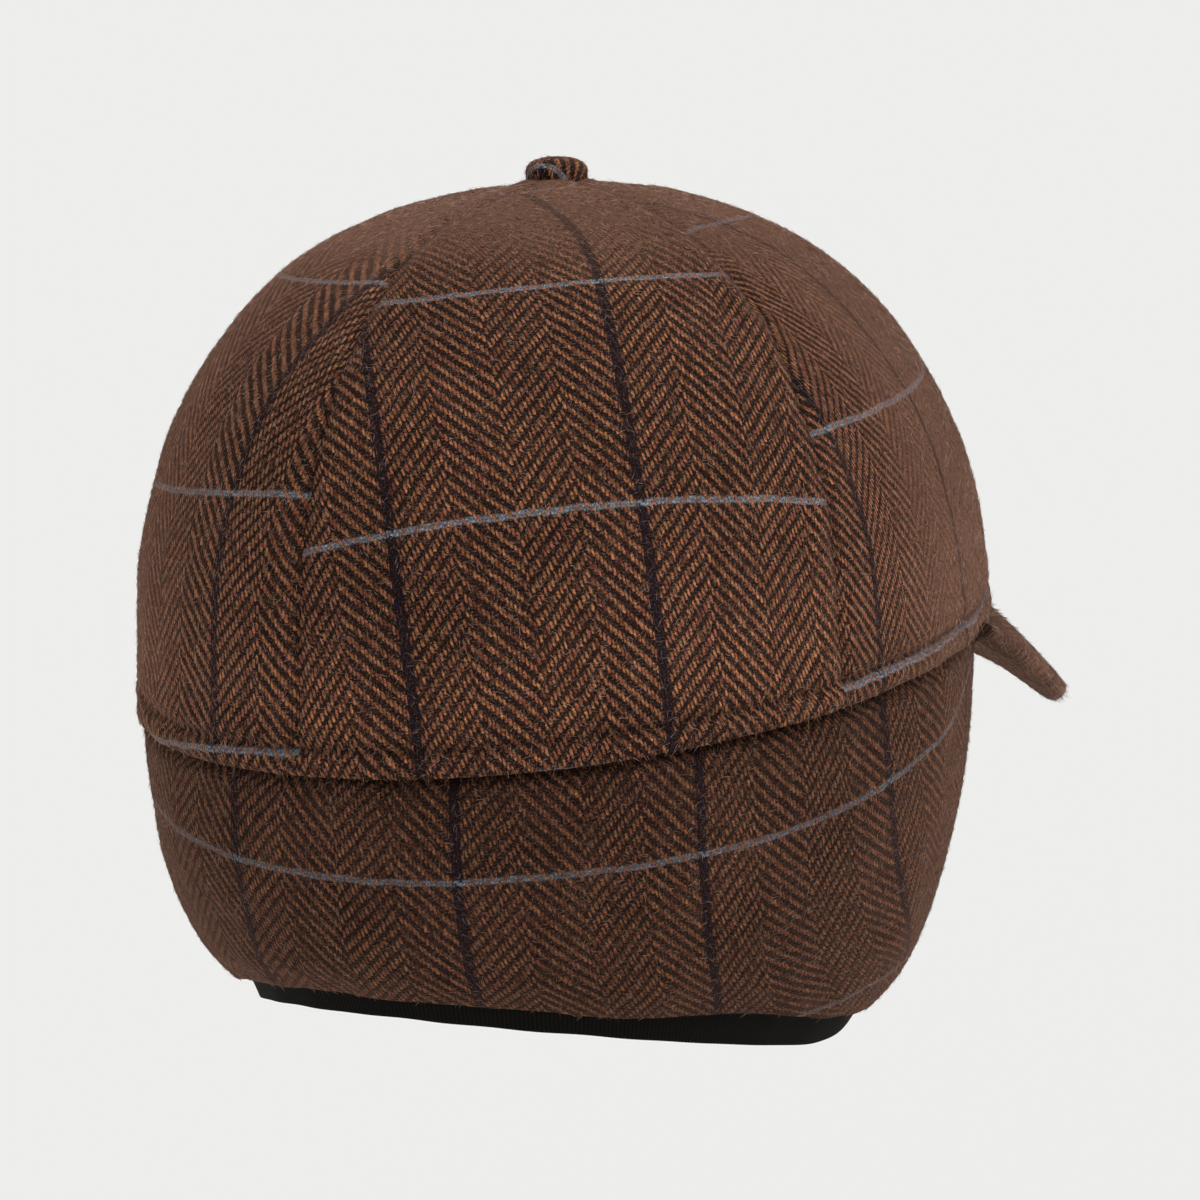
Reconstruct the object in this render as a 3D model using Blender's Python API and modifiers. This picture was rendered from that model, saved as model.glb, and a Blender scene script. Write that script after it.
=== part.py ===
"""Peaked tweed cap with a fold-down band over the ears and the neck.

Metres, +Z up. The wearer looks along -Y and the wearer's right is -X. The origin is the middle of
the crown's hem, where the head sits. A turn is an angle round the head, in radians: 0 at the middle
of the back and growing towards the wearer's right, so pi is the middle of the front.
"""

from math import atan2, cos, exp, hypot, pi, radians, sin

import bmesh
import bpy
from mathutils import Vector

# Crown, measured on the outside of the cloth
CROWN_HALF_LENGTH = 0.1056
CROWN_HALF_WIDTH = 0.0860
CROWN_HEIGHT = 0.0972
CROWN_ROUNDNESS = 2.27
CROWN_LEAN_BACK = 0.0042
WIDEST_ABOVE_HEM = 0.0029
PANEL_WALL = 0.0024
PANEL_COUNT = 5
SEAM_GAP = 0.0003
SEAM_SINK = 0.0008
SEAM_SINK_REACH = 0.0045
TOP_HOLE_RADIUS = 0.0033

# Hem round the lower edge of the crown
HEM_PITCH = 0.0134
HEM_DEPTH = 0.0050
HEM_SWELL = 0.0003
STITCH_SINK = 0.0004
EDGE_ROUND = 0.0009

# Button on top
BUTTON_RADIUS = 0.0066
BUTTON_HEIGHT = 0.0058
BUTTON_EDGE_SHARE = 0.45
BUTTON_FOOT_SHARE = 0.94
SHANK_CLEARANCE = 0.0006
SHANK_PAST_WALL = 0.0010
FIT_GAP = 0.0003

# Band over the ears and the neck
BAND_WALL = 0.0026
BAND_TUCK_PAST_STITCH = 0.0032
TUCK_GAP = 0.0004
BAND_SHARE = 0.988
BAND_BOWL_DEPTH = 0.1060
BAND_BOWL_ROUNDNESS = 2.48
BAND_LEAN_BACK = 0.0014
BAND_FOOT_FORWARD = 0.0062
BAND_FORWARD_HOLD = 4.0
BAND_EMERGE = 0.0040
BAND_FRONT_DROP = 0.0090
BAND_CURL = 0.0016
BAND_CURL_REACH = 0.0080
FLAP_DEPTH = 0.0780
FLAP_BACK_SHARE = 0.787
FLAP_LOW_TURN = radians(115)
FLAP_LIFT = 0.0027
FLAP_LIFT_TURN = radians(64)
FLAP_LIFT_WIDTH = radians(16)
FLAP_CORNER_TURN = radians(108)
FLAP_FRONT_TURN = radians(137)
FLAP_CORNER_ROUNDNESS = 2.6
BULGE_FADE_FROM = radians(92)
BULGE_FADE_TO = radians(112)

# Ribbed tape under the band's lower edge
TAPE_WALL = 0.0011
TAPE_TUCK = 0.0050
TAPE_SHOWN_BACK = 0.0065
TAPE_SHOWN_EAR = 0.0085
TAPE_SHOWN_HOLD = 3.0
TAPE_END_TURN = radians(127)
TAPE_LEAN_IN = 0.45

# Peak
PEAK_HALF_TURN = radians(65)
PEAK_LENGTH = 0.0619
PEAK_SIDE_INSET = 0.0018
PEAK_CORNER_SHARE = 0.06
PEAK_THICKNESS = 0.0051
PEAK_DROP = 0.0251
PEAK_DROP_HOLD = 2.05
PEAK_ARCH = 0.0032
PEAK_ARCH_HOLD = 3.5
PEAK_CAMBER = 0.0008
PEAK_SIDE_LEAN = 1.15
PEAK_FRONT_LEAN = 0.55
PEAK_EDGE_ROUND = 0.0022

# How finely each sheet is divided
PANEL_COLUMNS = 9
PANEL_ROWS = 10
HEM_ROWS = 3
BAND_COLUMNS = (15, 9, 5)
BAND_ROW_SHARES = (0.16, 0.34, 0.52, 0.70, 0.85, 0.94, 1.0)
PEAK_COLUMNS = 22
PEAK_ROWS = 5
BUTTON_STEPS = 20
BUTTON_ARC_STEPS = 5

TWEED_COLOUR = (0.105, 0.047, 0.026, 1.0)
TWEED_DARK_COLOUR = (0.075, 0.036, 0.022, 1.0)
TAPE_COLOUR = (0.008, 0.008, 0.007, 1.0)


def clear_scene():
    """Remove every object that the file opened with."""
    for old in list(bpy.data.objects):
        bpy.data.objects.remove(old, do_unlink=True)


def cloth_material(name, colour, roughness):
    """A plain Principled material."""
    material = bpy.data.materials.new(name)
    material.use_nodes = True
    shader = material.node_tree.nodes["Principled BSDF"]
    shader.inputs["Base Color"].default_value = colour
    shader.inputs["Roughness"].default_value = roughness
    shader.inputs["Metallic"].default_value = 0.0
    return material


def smooth_step(value, start, end):
    """0 before start, 1 after end, and a smooth rise between them."""
    share = min(max((value - start) / (end - start), 0.0), 1.0)
    return share * share * (3.0 - 2.0 * share)


def hem_height(turn):
    """Height of the crown's lower edge, which rises from the back to the front."""
    return -HEM_PITCH * cos(turn)


def ellipse_point(turn, share, lean, height, inset=0.0):
    """A point of an oval round the head, a share of the crown's size and then inset along its normal."""
    x = -CROWN_HALF_WIDTH * share * sin(turn)
    y = CROWN_HALF_LENGTH * share * cos(turn)
    out_x = -sin(turn) / CROWN_HALF_WIDTH
    out_y = cos(turn) / CROWN_HALF_LENGTH
    length = hypot(out_x, out_y)
    return Vector((x - inset * out_x / length, y + lean - inset * out_y / length, height))


def climb_angle(height):
    """The crown's profile angle at a height: 0 at the widest level and pi / 2 at the top."""
    share = (height - WIDEST_ABOVE_HEM) / CROWN_HEIGHT
    lifted = min(abs(share), 1.0) ** (CROWN_ROUNDNESS / 2.0)
    angle = atan2(lifted, (1.0 - lifted * lifted) ** 0.5)
    return angle if share >= 0.0 else -angle


def crown_section(climb):
    """Share of full width, lean and height of the crown's oval at a profile angle."""
    rise = abs(sin(climb)) ** (2.0 / CROWN_ROUNDNESS)
    if climb <= 0.0:
        return 1.0, 0.0, WIDEST_ABOVE_HEM - CROWN_HEIGHT * rise
    share = cos(climb) ** (2.0 / CROWN_ROUNDNESS)
    return share, CROWN_LEAN_BACK * rise * rise, WIDEST_ABOVE_HEM + CROWN_HEIGHT * rise


def crown_point(turn, climb, sink=0.0):
    """A point on the crown's outer face, sunk along the face's normal."""
    share, lean, height = crown_section(climb)
    point = ellipse_point(turn, share, lean, height)
    if sink == 0.0:
        return point
    step = radians(0.5)
    higher = crown_section(climb + step)
    lower = crown_section(climb - step)
    along = ellipse_point(turn + step, share, lean, height) - ellipse_point(turn - step, share, lean, height)
    up = ellipse_point(turn, *higher) - ellipse_point(turn, *lower)
    normal = up.cross(along).normalized()
    if normal.dot(point) < 0.0:
        normal.negate()
    return point - normal * sink


def arc_rate(turn):
    """Length of the widest oval for each radian of turn."""
    return hypot(CROWN_HALF_WIDTH * cos(turn), CROWN_HALF_LENGTH * sin(turn))


def turn_at_arc(share):
    """The turn at a share of the way round the widest oval, counted from the back."""
    steps = 720
    step = 2.0 * pi / steps
    lengths = [arc_rate((index + 0.5) * step) * step for index in range(steps)]
    wanted = abs(share) * sum(lengths)
    walked = 0.0
    for index, length in enumerate(lengths):
        if walked + length >= wanted:
            turn = (index + (wanted - walked) / length) * step
            return turn if share >= 0.0 else -turn
        walked += length
    return 2.0 * pi


def mapped_sheet(columns, rows, place, inside):
    """A grid whose vertices go where place(column, row) says, facing away from the point inside."""
    sheet = bmesh.new()
    across = len(columns) - 1
    along = len(rows) - 1
    bmesh.ops.create_grid(sheet, x_segments=across, y_segments=along, size=0.5)
    for vertex in sheet.verts:
        column = columns[round((vertex.co.x + 0.5) * across)]
        row = rows[round((vertex.co.y + 0.5) * along)]
        vertex.co = place(column, row)
    sheet.normal_update()
    facing = sum(face.normal.dot(face.calc_center_median() - inside) for face in sheet.faces)
    if facing < 0.0:
        bmesh.ops.reverse_faces(sheet, faces=sheet.faces)
    return sheet


def add_piece(name, model, material, collection):
    """Turn a bmesh into a named, smooth shaded object of the collection."""
    mesh = bpy.data.meshes.new(name)
    model.to_mesh(mesh)
    model.free()
    mesh.materials.append(material)
    mesh.shade_smooth()
    piece = bpy.data.objects.new(name, mesh)
    collection.objects.link(piece)
    return piece


def thicken(piece, wall):
    """Give a sheet its wall, on the inner side."""
    solidify = piece.modifiers.new("Wall", "SOLIDIFY")
    solidify.thickness = wall
    solidify.offset = -1.0
    solidify.use_even_offset = True
    solidify.use_rim = True


def round_edges(piece, width, segments):
    """Round the cut edges of a wall."""
    bevel = piece.modifiers.new("Rounded edges", "BEVEL")
    bevel.width = width
    bevel.segments = segments
    bevel.limit_method = "ANGLE"
    bevel.angle_limit = radians(50)


def band_tuck():
    """How far the band reaches up inside the hem: past the stitching that holds it."""
    return HEM_DEPTH + BAND_TUCK_PAST_STITCH


def panel_climbs(turn):
    """Profile angles of a panel's rows, from the hem's edge to the hole under the button."""
    foot = hem_height(turn)
    hem_rows = [foot, foot + HEM_DEPTH * 0.5, foot + HEM_DEPTH, foot + band_tuck() + FIT_GAP]
    climbs = [climb_angle(height) for height in hem_rows]
    top_share = TOP_HOLE_RADIUS / CROWN_HALF_WIDTH
    top = atan2((1.0 - top_share ** CROWN_ROUNDNESS) ** 0.5, top_share ** (CROWN_ROUNDNESS / 2.0))
    start = climbs[-1]
    for row in range(1, PANEL_ROWS + 1):
        climbs.append(start + (top - start) * row / PANEL_ROWS)
    return climbs


def crown_panel(name, from_share, to_share, material, collection):
    """One gore of the crown between two seams, given as shares of the way round from the back."""
    edges = (turn_at_arc(from_share), turn_at_arc(to_share))
    near_seam = SEAM_SINK_REACH / (arc_rate(edges[0]) * abs(edges[1] - edges[0]))
    columns = [0.0, near_seam]
    inner = PANEL_COLUMNS - 2
    for column in range(1, inner):
        columns.append(near_seam + (1.0 - 2.0 * near_seam) * column / inner)
    columns += [1.0 - near_seam, 1.0]
    row_sinks = {0: 0.0, 1: -HEM_SWELL, 2: STITCH_SINK}
    rows = list(range(PANEL_ROWS + HEM_ROWS + 1))

    def place(column, row):
        middle = edges[0] + (edges[1] - edges[0]) * column
        climb = panel_climbs(middle)[row]
        share = crown_section(climb)[0]
        spare = SEAM_GAP * 0.5 / (arc_rate(middle) * share)
        turn = middle + spare * (1.0 - 2.0 * column)
        sink = row_sinks.get(row, 0.0)
        if column in (0.0, 1.0) and row > HEM_ROWS:
            sink += SEAM_SINK
        return crown_point(turn, climb, sink)

    sheet = mapped_sheet(columns, rows, place, Vector((0.0, 0.0, 0.0)))
    panel = add_piece(name, sheet, material, collection)
    thicken(panel, PANEL_WALL)
    round_edges(panel, EDGE_ROUND, 1)
    return panel


def crown_top():
    """The middle of the crown's top, on the outer face."""
    return Vector((0.0, CROWN_LEAN_BACK, WIDEST_ABOVE_HEM + CROWN_HEIGHT))


def top_button(material, collection):
    """A covered button as a turned profile, with its shank in the hole where the panels meet."""
    straight = BUTTON_HEIGHT * BUTTON_EDGE_SHARE
    dome = BUTTON_HEIGHT - straight
    profile = []
    for step in range(BUTTON_ARC_STEPS):
        angle = pi * 0.5 * (1.0 - step / BUTTON_ARC_STEPS)
        profile.append((BUTTON_RADIUS * cos(angle), straight + dome * sin(angle)))
    profile.append((BUTTON_RADIUS, straight))
    profile.append((BUTTON_RADIUS * BUTTON_FOOT_SHARE, FIT_GAP))
    shank_radius = TOP_HOLE_RADIUS - SHANK_CLEARANCE
    shank_foot = -PANEL_WALL - SHANK_PAST_WALL
    profile.append((shank_radius, FIT_GAP))
    profile.append((shank_radius, shank_foot))
    profile.append((0.0, shank_foot))
    model = bmesh.new()
    points = [model.verts.new((max(radius, 0.0), 0.0, height)) for radius, height in profile]
    for first, second in zip(points, points[1:]):
        model.edges.new((first, second))
    button = add_piece("top_button", model, material, collection)
    button.location = crown_top()
    screw = button.modifiers.new("Turned", "SCREW")
    screw.steps = BUTTON_STEPS
    screw.render_steps = BUTTON_STEPS
    screw.use_merge_vertices = True
    screw.merge_threshold = 0.00001
    return button


def flap_depth(turn):
    """How far below the hem's middle the band ends: shallow at the neck, deep at the ears."""
    swing = (1.0 - cos(pi * min(turn, FLAP_LOW_TURN) / FLAP_LOW_TURN)) / 2.0
    return FLAP_DEPTH * (FLAP_BACK_SHARE + (1.0 - FLAP_BACK_SHARE) * swing)


def flap_lift(turn):
    """How far the band's lower edge is drawn up beside the ear."""
    return FLAP_LIFT * exp(-((abs(turn) - FLAP_LIFT_TURN) / FLAP_LIFT_WIDTH) ** 2)


def band_foot(turn):
    """Height of the band's lower edge, with a rounded corner where the ear flap ends in front."""
    turn = abs(turn)
    narrow = hem_height(turn) - BAND_FRONT_DROP
    if turn >= FLAP_FRONT_TURN:
        return narrow
    if turn <= FLAP_CORNER_TURN:
        return flap_lift(turn) - flap_depth(turn)
    across = (turn - FLAP_CORNER_TURN) / (FLAP_FRONT_TURN - FLAP_CORNER_TURN)
    kept = (1.0 - across ** FLAP_CORNER_ROUNDNESS) ** (1.0 / FLAP_CORNER_ROUNDNESS)
    return narrow + (flap_lift(turn) - flap_depth(turn) - narrow) * kept


def band_point(turn, height, inset=0.0):
    """A point on the band's outer face, inset towards the head."""
    below_widest = max(WIDEST_ABOVE_HEM - height, 0.0)
    bowl = min(below_widest / BAND_BOWL_DEPTH, 0.98) ** BAND_BOWL_ROUNDNESS
    share = BAND_SHARE * (1.0 - bowl) ** (1.0 / BAND_BOWL_ROUNDNESS)
    share *= crown_section(climb_angle(height))[0]
    depth_share = below_widest / FLAP_DEPTH
    lean = BAND_LEAN_BACK * depth_share - BAND_FOOT_FORWARD * depth_share ** BAND_FORWARD_HOLD
    tucked = PANEL_WALL + STITCH_SINK + TUCK_GAP - CROWN_HALF_WIDTH * (1.0 - BAND_SHARE)
    below_hem = smooth_step(hem_height(turn) - height, 0.0, BAND_EMERGE)
    bulge = below_hem * (1.0 - smooth_step(abs(turn), BULGE_FADE_FROM, BULGE_FADE_TO))
    to_foot = min(max(height - band_foot(turn), 0.0) / BAND_CURL_REACH, 1.0)
    curl = BAND_CURL * (1.0 - to_foot) ** 2
    if abs(turn) > FLAP_FRONT_TURN:
        curl = 0.0
    return ellipse_point(turn, share, lean, height, inset + tucked * (1.0 - bulge) + curl)


def half_turns():
    """Turns of the band's columns on the wearer's right, closer together at the flap's corner."""
    spans = (0.0, FLAP_CORNER_TURN, FLAP_FRONT_TURN, pi)
    turns = [0.0]
    for start, end, count in zip(spans, spans[1:], BAND_COLUMNS):
        for step in range(1, count + 1):
            share = step / count
            if start == FLAP_CORNER_TURN:
                share = sin(share * pi * 0.5)
            turns.append(start + (end - start) * share)
    return turns


def band_inner_point(turn, height, depth):
    """A point at a depth below the band's outer face, square to it."""
    step = radians(0.5)
    rise = BAND_CURL_REACH * 0.1
    point = band_point(turn, height)
    along = band_point(turn + step, height) - band_point(turn - step, height)
    up = band_point(turn, height + rise) - point
    inward = up.cross(along).normalized()
    if inward.dot(point) > 0.0:
        inward.negate()
    return point + inward * depth


def ear_neck_band(material, collection):
    """The fold-down band: half a sheet, mirrored into a ring that starts inside the hem."""
    tuck = band_tuck()
    tops = (tuck, tuck * 0.5, FIT_GAP, -BAND_EMERGE * 0.5, -BAND_EMERGE)
    rows = list(range(len(tops) + len(BAND_ROW_SHARES)))

    def place(turn, row):
        hem = hem_height(turn)
        if row < len(tops):
            height = hem + tops[row]
        else:
            start = hem + tops[-1]
            height = start + (band_foot(turn) - start) * BAND_ROW_SHARES[row - len(tops)]
        point = band_point(turn, height)
        if turn in (0.0, pi):
            point.x = 0.0
        return point

    sheet = mapped_sheet(half_turns(), rows, place, Vector((0.0, 0.0, -FLAP_DEPTH * 0.5)))
    band = add_piece("ear_neck_band", sheet, material, collection)
    mirror = band.modifiers.new("Left half", "MIRROR")
    mirror.use_axis = (True, False, False)
    mirror.merge_threshold = 0.00001
    thicken(band, BAND_WALL)
    round_edges(band, EDGE_ROUND, 1)
    return band


def band_edge_tape(material, collection):
    """The ribbed tape: it lies inside the band's lower edge and shows below it."""
    turns = [turn for turn in half_turns() if turn <= TAPE_END_TURN]
    rows = (-1.0, -0.5, 0.0, 0.5, 1.0)

    def place(turn, row):
        deepening = (flap_depth(turn) / FLAP_DEPTH - FLAP_BACK_SHARE) / (1.0 - FLAP_BACK_SHARE)
        shown = TAPE_SHOWN_BACK + (TAPE_SHOWN_EAR - TAPE_SHOWN_BACK) * deepening ** TAPE_SHOWN_HOLD
        shown += flap_lift(turn)
        foot = band_foot(turn)
        height = foot - TAPE_TUCK * min(row, 0.0)
        point = band_inner_point(turn, height, BAND_WALL + FIT_GAP)
        if row > 0.0:
            hang = Vector((-point.x, -point.y, 0.0)).normalized() * TAPE_LEAN_IN - Vector((0.0, 0.0, 1.0))
            point += hang.normalized() * shown * row
        if turn == 0.0:
            point.x = 0.0
        return point

    sheet = mapped_sheet(turns, rows, place, Vector((0.0, 0.0, -FLAP_DEPTH * 0.5)))
    tape = add_piece("band_edge_tape", sheet, material, collection)
    mirror = tape.modifiers.new("Left half", "MIRROR")
    mirror.use_axis = (True, False, False)
    mirror.merge_threshold = 0.00001
    thicken(tape, TAPE_WALL)
    return tape


def peak_corner():
    """Where the peak's outline meets the hem on the wearer's left, on the crown's outer face."""
    turn = pi - PEAK_HALF_TURN
    return CROWN_HALF_WIDTH * sin(turn), CROWN_HALF_LENGTH * cos(turn), hem_height(turn)


def peak_point(across, out, side):
    """A point of the peak's face: across from -1 to 1, out from 0 at the root to 1 at the rim.

    The side is 1 on the upper face, 0 in the middle of the board and -1 on the lower face.
    """
    corner_x, corner_y, corner_z = peak_corner()
    half_board = PEAK_THICKNESS * 0.5
    turn = pi + across * PEAK_HALF_TURN
    root = ellipse_point(turn, 1.0, 0.0, hem_height(turn) - FIT_GAP - half_board, PANEL_WALL)
    sweep = across * pi * 0.5
    past_corner = smooth_step(1.0 - abs(across), 0.0, PEAK_CORNER_SHARE)
    inset = (PEAK_SIDE_INSET + half_board) * past_corner
    reach = CROWN_HALF_LENGTH + PEAK_LENGTH - half_board + corner_y
    fall = 1.0 - (1.0 - cos(sweep)) ** PEAK_DROP_HOLD
    arch = PEAK_ARCH * max(cos(sweep), 0.0) ** PEAK_ARCH_HOLD
    rim = Vector((
        (corner_x - inset) * sin(sweep),
        corner_y - reach * cos(sweep),
        corner_z - FIT_GAP - half_board - PEAK_DROP * fall + arch,
    ))
    rim += (rim - root).normalized() * half_board * past_corner
    point = root.lerp(rim, out)
    point.z += PEAK_CAMBER * 4.0 * out * (1.0 - out) * cos(sweep)
    upward = Vector((PEAK_SIDE_LEAN * out * sin(sweep), -PEAK_FRONT_LEAN * out, 1.0))
    return point + upward.normalized() * half_board * side


def peak(material, collection):
    """The stiff peak: a flat board drawn to two faces, then bent to shape."""
    board = bmesh.new()
    bmesh.ops.create_grid(board, x_segments=PEAK_COLUMNS, y_segments=PEAK_ROWS, size=1.0)
    drawn = bmesh.ops.extrude_face_region(board, geom=list(board.faces), use_keep_orig=True)
    lower = [item for item in drawn["geom"] if isinstance(item, bmesh.types.BMVert)]
    bmesh.ops.translate(board, verts=lower, vec=(0.0, 0.0, -1.0))
    for vertex in board.verts:
        across, row, level = vertex.co
        vertex.co = peak_point(across, (row + 1.0) * 0.5, 1.0 + 2.0 * level)
    bmesh.ops.recalc_face_normals(board, faces=board.faces)
    piece = add_piece("peak", board, material, collection)
    round_edges(piece, PEAK_EDGE_ROUND, 2)
    return piece


def main():
    clear_scene()
    cap = bpy.data.collections.new("peaked_ear_flap_cap")
    bpy.context.scene.collection.children.link(cap)
    tweed = cloth_material("brown_tweed", TWEED_COLOUR, 0.95)
    shaded_tweed = cloth_material("band_tweed", TWEED_DARK_COLOUR, 0.95)
    black = cloth_material("ribbed_tape", TAPE_COLOUR, 0.8)
    panel = 1.0 / PANEL_COUNT
    crown_panel("crown_panel_back_right", 0.0, panel, tweed, cap)
    crown_panel("crown_panel_back_left", -panel, 0.0, tweed, cap)
    crown_panel("crown_panel_side_right", panel, 2.0 * panel, tweed, cap)
    crown_panel("crown_panel_side_left", -2.0 * panel, -panel, tweed, cap)
    crown_panel("crown_panel_front", 2.0 * panel, 3.0 * panel, tweed, cap)
    top_button(tweed, cap)
    ear_neck_band(shaded_tweed, cap)
    band_edge_tape(black, cap)
    peak(tweed, cap)


main()
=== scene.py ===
"""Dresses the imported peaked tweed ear-flap cap: cloth, seams, nap, tape, light and camera.

Metres, +Z up. The wearer looks along -Y and the wearer's right is -X. A turn is an angle round the
head: 0 at the middle of the back and growing towards the wearer's right. Cloth coordinates run
across the warp yarns (u) and along them (v), in metres from a crossing of the check.
"""

from math import cos, pi, radians, sin

import bmesh
import bpy
from bpy.props import FloatProperty, FloatVectorProperty, IntProperty, PointerProperty
from mathutils import Matrix, Vector
import numpy as np


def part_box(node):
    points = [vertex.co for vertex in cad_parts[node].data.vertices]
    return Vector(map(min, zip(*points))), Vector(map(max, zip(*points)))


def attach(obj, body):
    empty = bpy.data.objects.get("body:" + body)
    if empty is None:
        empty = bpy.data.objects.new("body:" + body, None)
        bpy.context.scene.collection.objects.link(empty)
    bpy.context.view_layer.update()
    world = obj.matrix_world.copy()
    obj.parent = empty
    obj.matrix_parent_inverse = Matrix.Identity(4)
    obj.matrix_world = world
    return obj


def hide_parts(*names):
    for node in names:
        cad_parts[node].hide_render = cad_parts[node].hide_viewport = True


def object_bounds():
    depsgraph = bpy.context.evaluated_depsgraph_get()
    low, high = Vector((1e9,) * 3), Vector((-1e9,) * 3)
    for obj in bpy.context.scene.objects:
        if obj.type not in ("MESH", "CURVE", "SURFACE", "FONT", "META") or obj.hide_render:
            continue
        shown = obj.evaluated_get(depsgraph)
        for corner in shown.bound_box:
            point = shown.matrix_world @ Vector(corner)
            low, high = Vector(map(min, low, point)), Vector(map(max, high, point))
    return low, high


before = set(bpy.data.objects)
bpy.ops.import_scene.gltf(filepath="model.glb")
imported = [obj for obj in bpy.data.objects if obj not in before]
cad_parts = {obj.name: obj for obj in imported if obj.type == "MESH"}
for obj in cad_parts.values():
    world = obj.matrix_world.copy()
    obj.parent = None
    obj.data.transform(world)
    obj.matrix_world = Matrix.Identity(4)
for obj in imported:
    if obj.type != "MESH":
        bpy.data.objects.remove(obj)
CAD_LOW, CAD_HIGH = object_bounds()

BODY = "root"
CLOTH_MAP = "Cloth"
# Vertex attribute of painted shade in seams, stitched grooves, under the hem and at the peak's root; below 0
# it makes the cloth above the hem lighter
PAINTED_SHADE = "Painted Shade"
# Vertex attribute of painted sheen: a lighter haze of nap that hides the weave at the top, on the right side
# and on the peak
PAINTED_SHEEN = "Painted Sheen"
TINT = "Tint"
MERGE_DISTANCE = 0.00001
BUTTON_LOW, BUTTON_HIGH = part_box("top_button")

bl_info = {
    "name": "Tweed ear-flap cap",
    "version": (1, 0, 0),
    "blender": (4, 5, 0),
    "location": "View3D > Sidebar > Cap",
    "description": "Builds the cloth, the trimmings and the stage of a peaked tweed cap",
    "category": "Object",
}

# Where each crown panel lies, as shares of the way round from the back, and how it was cut: the
# warp and weft offsets of the check in metres, how far the yarns lean, and how the weft bows
PANEL_FIELDS = (
    "name", "start", "end", "warp", "warp_lean", "warp_width", "weft", "weft_lean", "bow", "nap_seed",
)
PANELS = (
    ("crown_panel_back_right", 0.0, 0.2, 0.0161, 0.117, 1.0, 0.0379, 0.060, 1.8, 154),
    ("crown_panel_back_left", -0.2, 0.0, 0.0381, 0.031, 1.0, 0.0372, 0.050, 0.0, 147),
    ("crown_panel_side_right", 0.2, 0.4, -0.0473, 0.040, 1.3, 0.0573, 0.137, 0.0, 154),
    ("crown_panel_side_left", -0.4, -0.2, 0.0060, 0.020, 1.0, 0.0410, 0.020, 0.0, 147),
    ("crown_panel_front", 0.4, 0.6, -0.0080, 0.010, 1.0, 0.0330, 0.010, 0.0, 119),
)

# Steps of the grid from a seam into a panel, as shares of the seam's reach
SEAM_STEPS = (0.0, 0.3, 0.3, 0.3, 0.35, 0.45, 0.6, 0.8, 1.0)
HEM_ROWS = 20
TUCK_ROWS = 5
TAPE_COLUMNS = 320
TAPE_ROWS = 14
DOME_STEPS = 14
SIDE_STEPS = 7
BUTTON_COLUMNS = 72

# How the band was cut: the offsets of the check in metres, how the yarns draw together on the way
# down, how far the warp is skewed between two arcs beside the ear, and how the weft bows
BAND_CUT = {
    "warp": 0.033, "weft": 0.0232,
    "narrowing": 0.13, "narrowing_depth": 0.061, "narrowing_hold": 2.2, "narrowing_end": 1.3,
    "skew": 0.24, "skew_from": 0.095, "skew_to": 0.175,
    "bow_middle": 0.086, "bow_front": 1.2, "bow_back": 0.37, "bow_loss": 0.6, "bow_depth": 0.060,
}

PEAK_CLOTH = (0.012, 0.006)
BUTTON_CLOTH = (0.0005, -0.0066)

# Each tweed's share of felted haze and its brightness; the band's darker copy is painted shade
TWEEDS = {"brown_tweed": (0.16, 1.0), "felted_shaded_band_tweed": (0.46, 0.70), "peak_tweed": (0.75, 1.0)}
# The band's nap is darkened the same way, as painted shade
BAND_NAP_SHADED_BRIGHTNESS = 0.7


def length(name, default, description):
    """A property for a size in metres."""
    return FloatProperty(name=name, default=default, description=description, unit="LENGTH", precision=5)


def number(name, default, description):
    """A property for a plain number."""
    return FloatProperty(name=name, default=default, description=description, precision=4)


def turn_angle(name, degrees, description):
    """A property for an angle."""
    return FloatProperty(name=name, default=radians(degrees), description=description, unit="ROTATION")


def count(name, default, description):
    """A property for a whole number."""
    return IntProperty(name=name, default=default, description=description, min=1)


def colour(name, default, description):
    """A property for a colour."""
    return FloatVectorProperty(
        name=name, default=default, description=description, subtype="COLOR", size=4, min=0.0, max=1.0
    )


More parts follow.
